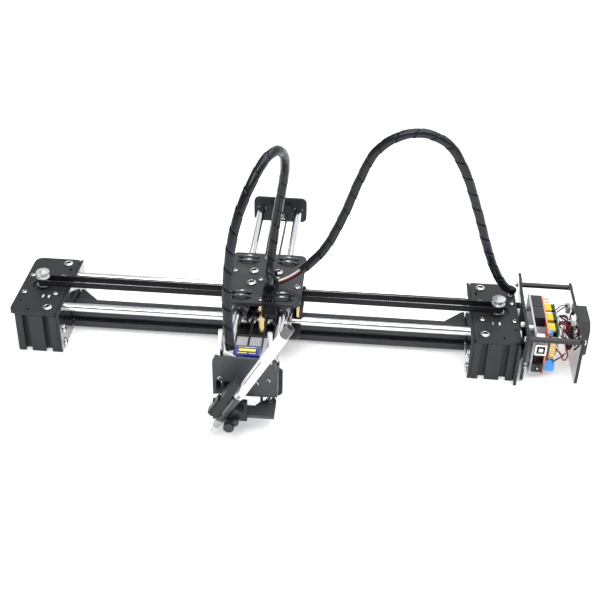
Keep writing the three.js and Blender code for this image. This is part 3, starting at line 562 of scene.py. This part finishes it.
def toothed_belt(name, line, tooth_side):
    """Belt on a line in plan with 2 mm teeth on one side (+1 is the left of the line)."""
    back, root, tip = 0.45, 0.25, 0.72
    path = smooth_path([Vector((x, y, 0)) for x, y in line], BELT_STEP)[0]
    rings = []
    for i, p in enumerate(path):
        ahead = path[min(i + 1, len(path) - 1)]
        behind = path[max(i - 1, 0)]
        along = (ahead - behind).normalized()
        side = Vector((-along.y, along.x, 0)) * tooth_side
        inner = tip if (i * BELT_STEP) % TOOTH_PITCH < 0.9 else root
        ring = []
        for across, z in ((inner, 0), (inner, BELT_HEIGHT), (-back, BELT_HEIGHT), (-back, 0)):
            q = p + side * across
            ring.append(at(q.x, q.y, BELT_Z + z))
        rings.append(ring)
    mesh = rings_mesh(name, rings)
    face_outwards(mesh)
    piece = finish_piece(name, mesh, "belt", None, sharp=25)
    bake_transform(piece)
    return piece


def make_belts():
    pitch = IDLER_Y - BELT_Y
    for side, sign in (("left", -1), ("right", 1)):
        roller_x = ARM_X + sign * IDLER_X
        motor_x = sign * MOTOR_X

        def mirrored(angle):
            return angle if sign < 0 else 180 - angle

        line = arc(roller_x, IDLER_Y, pitch, mirrored(0), mirrored(-90), 8)
        line += arc(motor_x, 0, BELT_Y, mirrored(90), mirrored(270), 18)
        line += arc(roller_x, -IDLER_Y, pitch, mirrored(90), mirrored(0), 8)
        belt = toothed_belt(f"toothed_belt_x_{side}", line, -sign)
        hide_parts(f"belt_x_{side}")
        strand = [(ARM_X + sign * STRAND_X, IDLER_Y + 0.4), (ARM_X + sign * REAR_STRAND_X, 157.7)]
        middle_point = tuple((a + b) / 2 for a, b in zip(*strand))
        rear = toothed_belt(f"toothed_belt_rear_{side}", [strand[0], middle_point, strand[1]], sign)
        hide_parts(f"belt_y_rear_{side}")
    loop = [(ARM_X - STRAND_X, -IDLER_Y - 0.4)]
    loop += arc(ARM_X, -106, STRAND_X, 180, 360, 18)
    loop += [(ARM_X + STRAND_X, -IDLER_Y - 0.4)]
    front = toothed_belt("toothed_belt_front", loop, 1)
    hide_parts("belt_y_front")


# ---- CAD nodes that keep their shape -----------------------------------------------------------------
def dress(node, look, bevel=0.25):
    """Gives a CAD node its finish and, by modifiers only, small rounded edges."""
    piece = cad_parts[node]
    mesh = piece.data
    mesh.materials.clear()
    mesh.materials.append(MATERIALS[look])
    stored_normals = mesh.attributes.get("custom_normal")
    if stored_normals:
        mesh.attributes.remove(stored_normals)
    mesh.shade_smooth()
    weld = piece.modifiers.new("weld", "WELD")
    weld.merge_threshold = 0.00001
    if bevel:
        flatten = piece.modifiers.new("flatten", "DECIMATE")
        flatten.decimate_type = "DISSOLVE"
        flatten.angle_limit = math.radians(0.5)
        flatten.delimit = {"MATERIAL"}
        edges = piece.modifiers.new("edges", "BEVEL")
        edges.width = bevel * MM
        edges.segments = 2
        edges.limit_method = "ANGLE"
        edges.angle_limit = math.radians(35)
        edges.use_clamp_overlap = True
        normals = piece.modifiers.new("normals", "WEIGHTED_NORMAL")
        normals.keep_sharp = False


def paint(node, look, test):
    """Gives a second finish to the faces of a dressed CAD node whose middle and normal pass the test."""
    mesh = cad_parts[node].data
    mesh.materials.append(MATERIALS[look])
    index = len(mesh.materials) - 1
    for face in mesh.polygons:
        if test((face.center - ORIGIN) / MM, face.normal):
            face.material_index = index


def dress_nodes():
    sides, rows = ("left", "right"), ("front", "rear")
    corners = [f"{side}_{row}" for side in sides for row in rows]
    families = [
        ("leg", corners, "profile_z", 0.2), ("idler", corners, "turned", 0.12), ("bushing_y", corners, "bearing", 0),
        ("deck", sides, "plate", 0.3), ("end_plate", sides, "plate", 0.3), ("corner_brace", sides, "plate", 0.4),
        ("motor", sides, "motor", 0.3), ("pulley", sides, "turned", 0.15), ("rod_y", sides, "chrome", 0.4),
        ("rod_x", rows, "chrome", 0.4), ("bushing_x", rows, "bearing", 0), ("standoff", rows, "black", 0.3),
        ("brass_spacer", ("front", "right"), "brass", 0.3), ("carriage", ("top", "bottom"), "plate", 0.3),
        ("arm", ("front_plate", "rear_plate"), "plate", 0.3), ("outer", ("plate",), "plate", 0.3),
        ("board", ("plate",), "plate", 0.3), ("fan", ("plate",), "plate", 0.3), ("fan", ("frame",), "fan", 0.3),
        ("fan", ("rotor",), "fan", 0.2), ("pen", ("holder",), "plate", 0.3), ("pen", ("slider",), "head", 0.3),
        ("head", ("frame",), "head", 0.3), ("cable", ("clamp",), "sleeve", 0.3), ("idler", ("arm",), "turned", 0.12),
        ("cross", ("beam",), "profile_x", 0.2), ("servo", ("horn",), "horn", 0.3), ("clamp", ("knob",), "black", 0.4),
    ]
    for stem, endings, look, bevel in families:
        for ending in endings:
            dress(f"{stem}_{ending}", look, bevel)
    dress("servo", "servo", 0.6)
    for node in ("outer_plate", "board_plate", "fan_plate", "end_plate_left", "end_plate_right"):
        paint(node, "gloss", lambda c, n: abs(n.x) > 0.9)
    for row in rows:
        paint(f"bushing_x_{row}", "seal", lambda c, n: abs(n.x) > 0.9)
    for corner in corners:
        paint(f"bushing_y_{corner}", "seal", lambda c, n: abs(n.y) > 0.9)
    low, high = place("pen_slider")
    guide_y = place("head_frame")[0].y + 8.5
    paint("pen_slider", "chrome", lambda c, n: c.z > 20.2 and abs(c.y - guide_y) < 2.5
          and min(c.x - low.x, high.x - c.x) < 12)


# ---- Fasteners -------------------------------------------------------------------------------------
def make_fasteners():
    for row, y in (("front", place("standoff_front")), ("rear", place("standoff_rear"))):
        spot = (y[0] + y[1]) / 2
        right = place("fan_plate")[1].x
        left = place("board_plate")[1].x - 3
        button_screw(f"standoff_screw_{row}_right", (right, spot.y, spot.z), (1, 0, 0), 2.6, 1.7)
        button_screw(f"standoff_screw_{row}_left", (left, spot.y, spot.z), (-1, 0, 0), 2.6, 1.7)
    for side, sign in (("left", -1), ("right", 1)):
        for row, y in (("front", -LEG_Y), ("rear", LEG_Y)):
            button_screw(f"deck_screw_{side}_{row}", (sign * 210.1, y, DECK_TOP), (0, 0, 1))
            inner = sign * (MOTOR_X - END_PLATE_X)
            for level, z in (("low", 5.5), ("high", 21)):
                button_screw(f"end_screw_{side}_{row}_{level}", (inner, y + 1, z), (-sign, 0, 0), 4.2, 2.4)
        for i, (u, v) in enumerate(((-1, -1), (1, -1), (1, 1), (-1, 1))):
            spot = (sign * MOTOR_X + u * MOTOR_SCREW, v * MOTOR_SCREW, DECK_TOP)
            button_screw(f"motor_screw_{side}_{i}", spot, (0, 0, 1), 2.75, 1.7)
    button_screw("deck_screw_right_edge", (239.3, 29.5, DECK_TOP), (0, 0, 1), 2.6, 1.6)
    tabs = ((4.4 - MOTOR_X, "white"), (10.2 - MOTOR_X, "white"), (MOTOR_X + 0.9, "white"),
            (MOTOR_X - 5.5, "pen_grey"))
    for i, (x, look) in enumerate(tabs):
        block(f"deck_tab_{i}", (x - 0.85, -22.4, DECK_TOP - 2), (x + 0.85, -17.6, DECK_TOP - 0.1), look, 0.1)
    for i, z in enumerate((21.6, 16.9)):
        spot = (250, place("board_plate")[0].y, z)
        button_screw(f"board_screw_{i}", spot, (0, -1, 0), 1.3, 0.5)
    for name, sx, sy in (("left_front", -1, -1), ("left_rear", -1, 1), ("right_rear", 1, 1)):
        spot = (ARM_X + sx * IDLER_X, sy * IDLER_Y, CARRIAGE_TOP)
        button_screw(f"roller_screw_{name}", spot, (0, 0, 1), body="carriage")
    small = [(-33.5, 10), (-3, -39), (-5, 35.5), (-6.9, -4), (8.8, 0.4)]
    for i, (x, y) in enumerate(small):
        button_screw(f"carriage_screw_{i}", (x, y, CARRIAGE_TOP), (0, 0, 1), 2.6, 1.7, "carriage")
    button_screw("spacer_screw", (29.3, -14, CARRIAGE_TOP), (0, 0, 1), 3.3, 2.0, "carriage")
    for i, (x, z) in enumerate(((-11.2, 53.2), (6.5, 52.7), (0.5, 50.4), (0.3, 46.3))):
        button_screw(f"rear_plate_screw_{i}", (x, 158, z), (0, -1, 0), 1.7, 1.2, "arm")
    for i, (x, z) in enumerate(((-28.5, 49.8), (14.4, 49.9), (16.1, 69.5), (4.2, 45.9))):
        button_screw(f"head_screw_{i}", (x, -137, z), (0, -1, 0), 1.9, 1.3, "arm")


# ---- Zip ties ----------------------------------------------------------------------------------------
def tie_band(name, loop, width, thick, across, body):
    """A flat strap round a closed loop of points in mm; across is the direction of its width."""
    across = Vector(across)
    count = len(loop)
    centre = sum((Vector(p) for p in loop), Vector()) / count
    rings = []
    for i, p in enumerate(loop):
        p = Vector(p)
        along = (Vector(loop[(i + 1) % count]) - Vector(loop[i - 1])).normalized()
        out = along.cross(across).normalized()
        if out.dot(p - centre) < 0:
            out = -out
        corners = [(-0.5, 0), (0.5, 0), (0.5, 0.75), (0.4, 1), (-0.4, 1), (-0.5, 0.75)]
        rings.append([at(*(p + across * width * a + out * thick * b)) for a, b in corners])
    mesh = rings_mesh(name, rings, closed=True)
    face_outwards(mesh)
    finish_piece(name, mesh, "tie", body, sharp=25)


def make_ties():
    crown = [(1.7, 1.95), (2.9, 1.87), (4.1, 1.70), (5.3, 1.44), (6.5, 1.10), (7.9, 0.59)]
    arch = [(-dx, dz) for dx, dz in reversed(crown)] + crown + [(8.25, -2.2)]
    for side, x in (("left", ARM_X - Y_ROD_X), ("right", ARM_X + Y_ROD_X)):
        for row in ("front", "rear"):
            low, high = place(f"bushing_y_{side}_{row}")
            z = (low.z + high.z) / 2
            reach = (high.x - low.x) / 2 + 0.35
            for k, shift in enumerate((-3.7, 3.7)):
                y = (low.y + high.y) / 2 + shift
                loop = [(x + dx, y, CARRIAGE_TOP + dz) for dx, dz in arch]
                loop += [(x + reach * math.cos(a), y, z + reach * math.sin(a))
                         for a in (math.radians(d) for d in range(0, -181, -15))]
                loop.append((x - 8.25, y, CARRIAGE_TOP - 2.2))
                tie_band(f"tie_y_{side}_{row}_{k}", loop, 2.5, 1.0, (0, 1, 0), "carriage")
    for row in ("front", "rear"):
        low, high = place(f"bushing_x_{row}")
        y, z = (low.y + high.y) / 2, (low.z + high.z) / 2
        reach = (high.z - low.z) / 2 + 0.1
        loop = [(0, y + reach * math.cos(a), z + reach * math.sin(a)) for a in
                (math.radians(d) for d in range(0, 360, 12))]
        for k, x in enumerate((low.x + 8, low.x + 16, high.x - 16, high.x - 8)):
            tie_band(f"tie_x_{row}_{k}", [(x, b, c) for _, b, c in loop], 2.5, 0.9, (1, 0, 0), "carriage")


# ---- Pen ---------------------------------------------------------------------------------------------
def make_pen():
    low, high = place("pen")
    full = (high.y - low.y) / 2
    lean = math.atan2(high.x - low.x - 0.85 * full, high.z - low.z - 0.35 * full)
    tip = (low.x + 0.4, (low.y + high.y) / 2, low.z)
    axis = (math.sin(lean), 0, math.cos(lean))
    length = math.hypot(high.x - low.x - 0.85 * full, high.z - low.z - 0.35 * full)

    def part(name, profile, look):
        return turned(name, profile, tip, axis, look, 48, "slider")

    part("pen_point", [(0.05, 0.0), (0.4, 0.25), (0.5, 1.2), (0.8, 6.2)], "pen_clear")
    part("pen_cone", [(0.8, 6.0), (1.3, 6.8), (1.9, 11), (2.3, 12.6)], "pen_clear")
    part("pen_collar", [(2.2, 12.4), (3.0, 13.0), (3.4, 15.4), (3.7, 17.4), (4.2, 18.8), (4.2, 22.4), (3.8, 23.0)],
         "pen_metal")
    grip = [(3.8, 22.9), (4.35, 23.4), (4.35, 26.0)]
    for i in range(5):
        grip += [(4.05, 26.3 + i * 3), (4.05, 27.1 + i * 3), (4.35, 27.4 + i * 3), (4.35, 29.0 + i * 3)]
    part("pen_grip", [*grip, (4.4, 52.4), (4.4, 53.0)], "pen_grip")
    ring = length - 16
    barrel = part("pen_barrel", [(4.0, 52.9), (full - 0.1, 53.3), (full, 54.2), (full, ring - 1),
                                 (full - 0.25, ring)], "pen")
    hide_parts("pen")
    part("pen_ring", [(full - 0.5, ring - 0.1), (full - 0.1, ring + 0.3), (full - 0.1, ring + 5),
                      (full - 0.5, ring + 5.4)], "pen")
    part("pen_end", [(full - 0.6, ring + 5.2), (full - 0.4, ring + 5.7), (full - 0.45, length - 1.2),
                     (3.6, length - 0.5), (3.2, length - 0.4), (2.9, length - 4), (0.05, length - 4)], "pen_end")
    turn = turn_to(axis)
    # name, angle round the pen, start and end along it, half its spread in radians, radius, finish
    marks = [("pen_clip", 3.95, 69, 100, 0.14, full, "pen_grey"),
             ("pen_seam", 4.0, 58.5, 63.5, 0.13, full, "pen_grey"),
             ("pen_window", 4.65, 53.8, 58, 0.36, full, "pen_grey"),
             # The last mark is a painted highlight: a lighter grey strip along one side of the dark grip.
             ("pen_grip_highlight", 3.95, 31, 50, 0.40, 4.45, "painted_grip_sheen")]
    across = [(-1, 0.0), (1, 0.0), (0.8, 0.16), (0.4, 0.18), (0.0, 0.18), (-0.4, 0.18), (-0.8, 0.16)]
    for name, angle, start, stop, spread, radius, look in marks:
        rings = []
        for k in range(13):
            s = start + (stop - start) * k / 12
            fade = max(0.5, min(1, k, 12 - k))
            r = radius - 0.06
            arc_points = [(angle + j * spread * fade, r + lift) for j, lift in across]
            rings.append([at(*tip) + turn @ Vector((far * math.cos(a), far * math.sin(a), s)) * MM
                          for a, far in arc_points])
        finish_piece(name, rings_mesh(name, rings), look, "slider", sharp=50)


# ---- Servo label, knobs and holder -------------------------------------------------------------------
def make_head_details():
    low, high = place("servo")
    top = high.z
    low_x, high_x, low_y, high_y = low.x + 3.4, high.x - 3.6, low.y + 2.6, high.y - 2.6
    depth, width = high_y - low_y, high_x - low_x
    block("servo_label", (low_x, low_y, top - 0.05), (high_x, high_y, top + 0.12), "label_dark", 0.05, "arm")
    for i, (start, stop, left, right) in enumerate(((0.34, 0.72, 0.03, 0.97), (0.0, 0.12, 0.0, 0.5),
                                                    (0.0, 0.10, 0.62, 1.0), (0.92, 1.0, 0.0, 1.0))):
        block(f"servo_label_stripe_{i}", (low_x + width * left, low_y + depth * start, top + 0.05),
              (low_x + width * right, low_y + depth * stop, top + 0.2), "label_yellow", 0.05, "arm")
    for i, x in enumerate((low.x - 0.01, high.x + 0.01)):
        block(f"servo_seam_{i}", (x - 0.12, low.y + 0.5, top - 4.2), (x + 0.12, high.y - 0.5, top - 3.9),
              "label_dark", 0.05, "arm")
    face = place("pen_holder")[0].y
    turned("holder_knob", [(2.0, 0), (3.1, 0.3), (3.3, 1.2), (3.3, 4.2), (2.8, 5.0), (0.05, 5.2)],
           (-11.8, face + 0.3, 23.2), (0, -1, 0), "black", 24, "slider",
           shape=lambda r, z, a: r * (1 + 0.04 * math.cos(12 * a)) if r > 3.2 else r)


# ---- Electronics -------------------------------------------------------------------------------------
def pin_row(name, start, step, count, size, look):
    """Square pins in a row, from one corner, joined in one piece."""
    points, faces = [], []
    for i in range(count):
        low = Vector(start) + Vector(step) * i
        high = low + Vector(size)
        base = len(points)
        for z in (low.z, high.z):
            points += [at(low.x, low.y, z), at(high.x, low.y, z), at(high.x, high.y, z), at(low.x, high.y, z)]
        for quad in ((3, 2, 1, 0), (4, 5, 6, 7), (0, 1, 5, 4), (1, 2, 6, 5), (2, 3, 7, 6), (3, 0, 4, 7)):
            faces.append([base + k for k in quad])
    finish_piece(name, mesh_of(name, points, faces), look, "base")


def board(name, node, x, low, high, look, edge_look, holes):
    """Circuit board standing across X, with cut corners, pale edge and bright rings round its holes."""
    y0, z0 = low
    y1, z1 = high
    cut = 2.5
    outline = [(y0 + cut, z0), (y1, z0), (y1, z1 - cut), (y1 - cut, z1), (y0, z1), (y0, z0 + cut)]
    rings = [[at(x + dx, y, z) for y, z in outline] for dx in (0.0, 0.35, 1.25, 1.6)]
    mesh = rings_mesh(name, rings)
    piece = finish_piece(name, mesh, look, "base")
    mesh.materials.append(MATERIALS[edge_look])
    for face in mesh.polygons:
        if abs(face.normal.x) < 0.5:
            face.material_index = 1
    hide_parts(node)
    for i, (y, z) in enumerate(holes):
        for dx, sign in ((-0.02, -1), (1.62, 1)):
            turned(f"{name}_hole_{i}_{'ab'[sign > 0]}", [(1.6, 0), (2.5, 0.0), (2.5, 0.06), (1.6, 0.06)],
                   (x + dx, y, z), (sign, 0, 0), "tin", 24, closed=True)


def make_electronics():
    low, high = place("controller_board")
    front, top = low.y, high.z
    shield_low, shield_high = place("stepper_shield")
    back = shield_low.x - 12.6
    edge, rear = front + 5, shield_high.y
    holes = [(edge + 3, top - 4), (edge + 3, 6), (rear - 3, top - 6), (rear - 3, 6)]
    board("control_pcb", "controller_board", back, (edge, 2), (rear, top), "teal", "board_edge", holes)
    x = back + 1.6
    block("usb_shell", (x, edge - 5, 31), (x + 10.9, edge + 11, 43), "tin", 0.5)
    # usb_mouth is a near-black sheet of painted shade across the opening of the USB shell.
    block("usb_mouth", (x + 1.6, edge - 5.15, 33), (x + 9.4, edge - 4.6, 41.2), "socket_shade", 0.4)
    block("usb_tongue", (x + 3.4, edge - 5.35, 35), (x + 7.6, edge - 4.9, 39), "white", 0.3)
    for i, z in enumerate((32.6, 40.6)):
        block(f"usb_spring_{i}", (x + 3.5, edge - 2.5, z - 0.5 + 3 * i), (x + 7.5, edge + 3, z + 0.2 + 3 * i), "tin",
              0.2)
    block("jack_body", (x, edge - 2, 9), (x + 10.9, edge + 12, 18), "black", 0.6)
    turned("jack_mouth", [(3.6, 0), (3.6, 0.25), (2.9, 0.25), (2.9, 0.0)], (x + 5.6, edge - 1.85, 13.6), (0, -1, 0),
           "black", 32, closed=True)
    # jack_bore is a near-black disc of painted shade in the jack's bore.
    turned("jack_bore", [(2.9, 0), (2.9, 0.1), (0.05, 0.1)], (x + 5.6, edge - 1.95, 13.6), (0, -1, 0), "socket_shade",
           32)
    turned("jack_pin", [(1.0, 0), (1.0, 0.5), (0.6, 0.9), (0.05, 1.0)], (x + 5.6, edge - 1.95, 13.6), (0, -1, 0),
           "tin", 20)
    block("board_socket_white", (x, edge - 1.5, 43.6), (x + 9, edge + 7, 48.2), "white", 0.4)
    for i, (y0, y1) in enumerate(((-17.5, 1.6), (2.4, 21.6))):
        block(f"header_top_{i}", (x, y0, 42.6), (x + 10.9, y1, 53.1), "black", 0.25)
        block(f"header_low_{i}", (x, y0 + 3, 4.6), (x + 8.5, y1 - 0.5, 7.2), "black", 0.25)
    block("main_chip", (x, -12, 20), (x + 1.4, 10, 28), "black", 0.2)
    pin_row("main_chip_legs_low", (x, -11, 18.8), (0, 1.6, 0), 13, (0.5, 0.6, 1.3), "tin")
    pin_row("main_chip_legs_high", (x, -11, 27.9), (0, 1.6, 0), 13, (0.5, 0.6, 1.3), "tin")
    for i, (y, z) in enumerate(((-24, 24), (-24, 14.5))):
        turned(f"capacitor_{i}", [(3.0, 0), (3.1, 0.4), (2.9, 1.0), (3.1, 1.6), (3.1, 6.6), (2.7, 7), (0.05, 7)],
               (x, y, z), (1, 0, 0), "tin", 28)
    for i, (y, z) in enumerate(((-32, 51), (-30, 6), (19, 38), (19, 14))):
        turned(f"board_spacer_{i}", [(2.6, 0), (2.6, 5.2), (1.5, 5.2), (1.5, 0)], (back - 5.2, y, z), (1, 0, 0),
               "white", 6, closed=True)
    turned("edge_spacer", [(2.3, 0), (2.5, 0.3), (2.5, 2.9), (2.3, 3.2), (1.2, 3.2), (1.2, 0)],
           (back - 12, -30, 52.6), (1, 0, 0), "white", 24, closed=True)

    x = shield_low.x
    holes = [(edge + 5, shield_high.z - 4), (rear - 3, shield_high.z - 4)]
    board("stepper_pcb", "stepper_shield", x, (edge + 2, 2), (rear, shield_high.z), "red", "red_edge", holes)
    pin_row("shield_pins_below", (x - 2.2, -17, 47.5), (0, 2.54, 0), 15, (2.4, 0.64, 0.64), "gold")
    x += 1.6
    for i, y in enumerate((-26.5, -10, 6.5)):
        for k, z in enumerate((28, 43.4)):
            name = f"driver_{i}_{k}"
            for j, dz in enumerate((-5.4, 5.4)):
                block(f"{name}_socket_{j}", (x, y - 5.6, z + dz - 1.3), (x + 6.8, y + 5.6, z + dz + 1.3), "yellow",
                      0.2)
                block(f"{name}_rail_{j}", (x + 6.9, y - 5.4, z + dz - 1.2), (x + 9.2, y + 5.4, z + dz + 1.2), "black",
                      0.2)
            block(f"{name}_board", (x + 9.3, y - 6.5, z - 6.9), (x + 10.5, y + 6.5, z + 6.9), "green", 0.15)
            block(f"{name}_chip", (x + 10.5, y - 2.6, z - 2.6), (x + 11.4, y + 2.6, z + 2.6), "black", 0.15)
            for j in range(4):
                block(f"{name}_fin_{j}", (x + 11.4, y - 3.2, z - 3.1 + j * 1.75),
                      (x + 12.8, y + 3.2, z - 2.3 + j * 1.75), "tin", 0.1)
            turned(f"{name}_trim", [(1.4, 0), (1.4, 0.7), (1.1, 1.0), (0.05, 1.0)], (x + 10.5, y + 4.4, z + 3.6),
                   (1, 0, 0), "tin", 20)
    low_y = shield_low.y + 0.6
    block("power_terminal", (x, low_y, 8), (x + 9.4, low_y + 10.4, 17.4), "blue", 0.4)
    block("power_terminal_step", (x, low_y, 17.4), (x + 6.6, low_y + 10.4, 20), "blue", 0.4)
    for i in range(2):
        y = low_y + 2.7 + i * 5
        turned(f"terminal_screw_{i}", [(1.9, 0), (1.9, 0.3), (1.7, 0.5), (0.05, 0.5)], (x + 4, y, 19.9), (0, 0, 1),
               "tin", 20)
        # Each terminal_mouth is a thin near-black sheet of painted shade in the opening of the terminal.
        block(f"terminal_mouth_{i}", (x + 9.3, y - 1.6, 9.5), (x + 9.55, y + 1.6, 13.5), "socket_shade", 0.1)
    block("limit_pins_base", (x, low_y + 0.3, 21.6), (x + 2.4, low_y + 7.4, 45), "black", 0.2)
    for i in range(3):
        pin_row(f"limit_pins_{i}", (x + 2.4, low_y + 0.9 + i * 2.54, 22.4), (0, 0, 2.54), 9, (6, 0.64, 0.64), "gold")
    pin_row("edge_pins", (x, 14.5, 49.4), (0, 2.54, 0), 4, (6.2, 0.64, 0.64), "gold")
    block("shield_switch", (x, -38, 46.5), (x + 3.4, -32, 50.5), "blue", 0.3)


def make_wiring():
    """The loose wires between the shield and the fan plate, and those that leave the carriage clamp."""
    fan_low = place("fan_plate")[0]
    x0, x1 = fan_low.x - 17.8, fan_low.x - 1.2
    block("fan_plug", (x1 - 4.2, 14, 38.5), (x1, 23, 45), "pen_grey", 0.4)
    block("motor_plug", (x1 - 3.2, -15, 43.8), (x1, -6, 50.5), "white", 0.4)
    runs = [
        ("wire_red", [(x0, 8, 44), (x0 + 6, 10, 50), (x0 + 12, 14, 48), (x1 - 3, 17, 43)]),
        ("wire_black", [(x0, 6, 42), (x0 + 7, 9, 47.5), (x0 + 12, 15, 46), (x1 - 3, 19, 43)]),
        ("wire_white", [(x0, -2, 46), (x0 + 7, -4, 43), (x0 + 12, -8, 45), (x1 - 2, -9, 46)]),
        ("wire_black", [(x0, -6, 47), (x0 + 6, -8, 41), (x0 + 12, -12, 42), (x1 - 2, -11, 46)]),
        ("wire_red", [(x0, -10, 45), (x0 + 6, -12, 38), (x0 + 11, -15, 40), (x1 - 2, -13, 46)]),
        ("wire_white", [(x0, -12, 42), (x0 + 8, -18, 36), (x0 + 12, -26, 34), (x0 + 8, -34, 38), (x0, -36, 42)]),
        ("wire_red", [(x0 - 2, -34, 30), (x0 + 4, -37.5, 25), (x0 + 7, -38, 19.5), (x0 + 10, -37, 22),
                      (x0 + 8, -32, 32), (x0 + 5, -24, 40), (x0 + 7, -14, 42)]),
        ("wire_white", [(x0 - 2, -33, 32), (x0 + 3, -36, 27), (x0 + 6, -36, 21.5), (x0 + 8.4, -34.5, 24),
                        (x0 + 7, -30, 33), (x0 + 5, -22, 38), (x0 + 5, -14, 40)]),
        ("wire_black", [(x0, -20, 40), (x0 + 8, -24, 32), (x0 + 11, -28, 26), (x0 + 7, -33, 22), (x0 - 1, -33, 14)]),
        ("wire_red", [(x0, -4, 32), (x0 + 9, -6, 33), (x0 + 12, -12, 37), (x0 + 10, -16, 44), (x0 + 1, -16, 48)]),
        ("wire_black", [(x0, 10, 30), (x0 + 8, 6, 34), (x0 + 12, -2, 38), (x0 + 11, -8, 44), (x0 + 3, -10, 50)]),
    ]
    for i, (look, points) in enumerate(runs):
        wire(f"fan_wire_{i}", points, look, 1.4, "base")
    for i in range(9):
        look = ("wire_red", "wire_black", "wire_black")[i % 3]
        y = 9 - 2.6 * i
        z = 40 - 1.3 * i
        points = [(x0, y, z - 6), (x0 + 5 + i % 3, y - 2, z + 3 * math.sin(2.1 * i)), (x1 - 5 + i % 2, y - 5, z + 2),
                  (x1 - 3 - i % 3, y - 9 + 3 * math.sin(1.7 * i), z - 5), (x1 - 1, y - 7, z - 11 - i % 4)]
        wire(f"loom_wire_{i}", points, look, 1.5, "base")
    edge_y = place("carriage_top")[0].y
    for i, x in enumerate((0.6, 3.2, 5.8, 8.4, 11.0)):
        points = [(x, edge_y + 6 + 5 * (i % 2), CARRIAGE_TOP + 1.5), (x, edge_y + 2, CARRIAGE_TOP + 1.5),
                  (x, edge_y - 1.6, CARRIAGE_TOP + 0.2), (x, edge_y - 1.9, CARRIAGE_TOP - 6),
                  (x * 0.7 + 2.2, edge_y - 1.5, CARRIAGE_TOP - 12), (x * 0.5 + 3.5, edge_y + 3, CARRIAGE_TOP - 18)]
        wire(f"clamp_wire_{i}", points, "wire_black", 2.7, "carriage")
    block("clamp_sleeve", (-2.4, edge_y + 4, CARRIAGE_TOP), (11.4, -3, CARRIAGE_TOP + 2.7), "sleeve", 1.2,
          "carriage", 3)


make_camera()
MATERIALS = make_materials()
make_cables()
make_belts()
make_stage()
dress_nodes()
make_fasteners()
make_ties()
make_pen()
make_head_details()
make_electronics()
make_wiring()
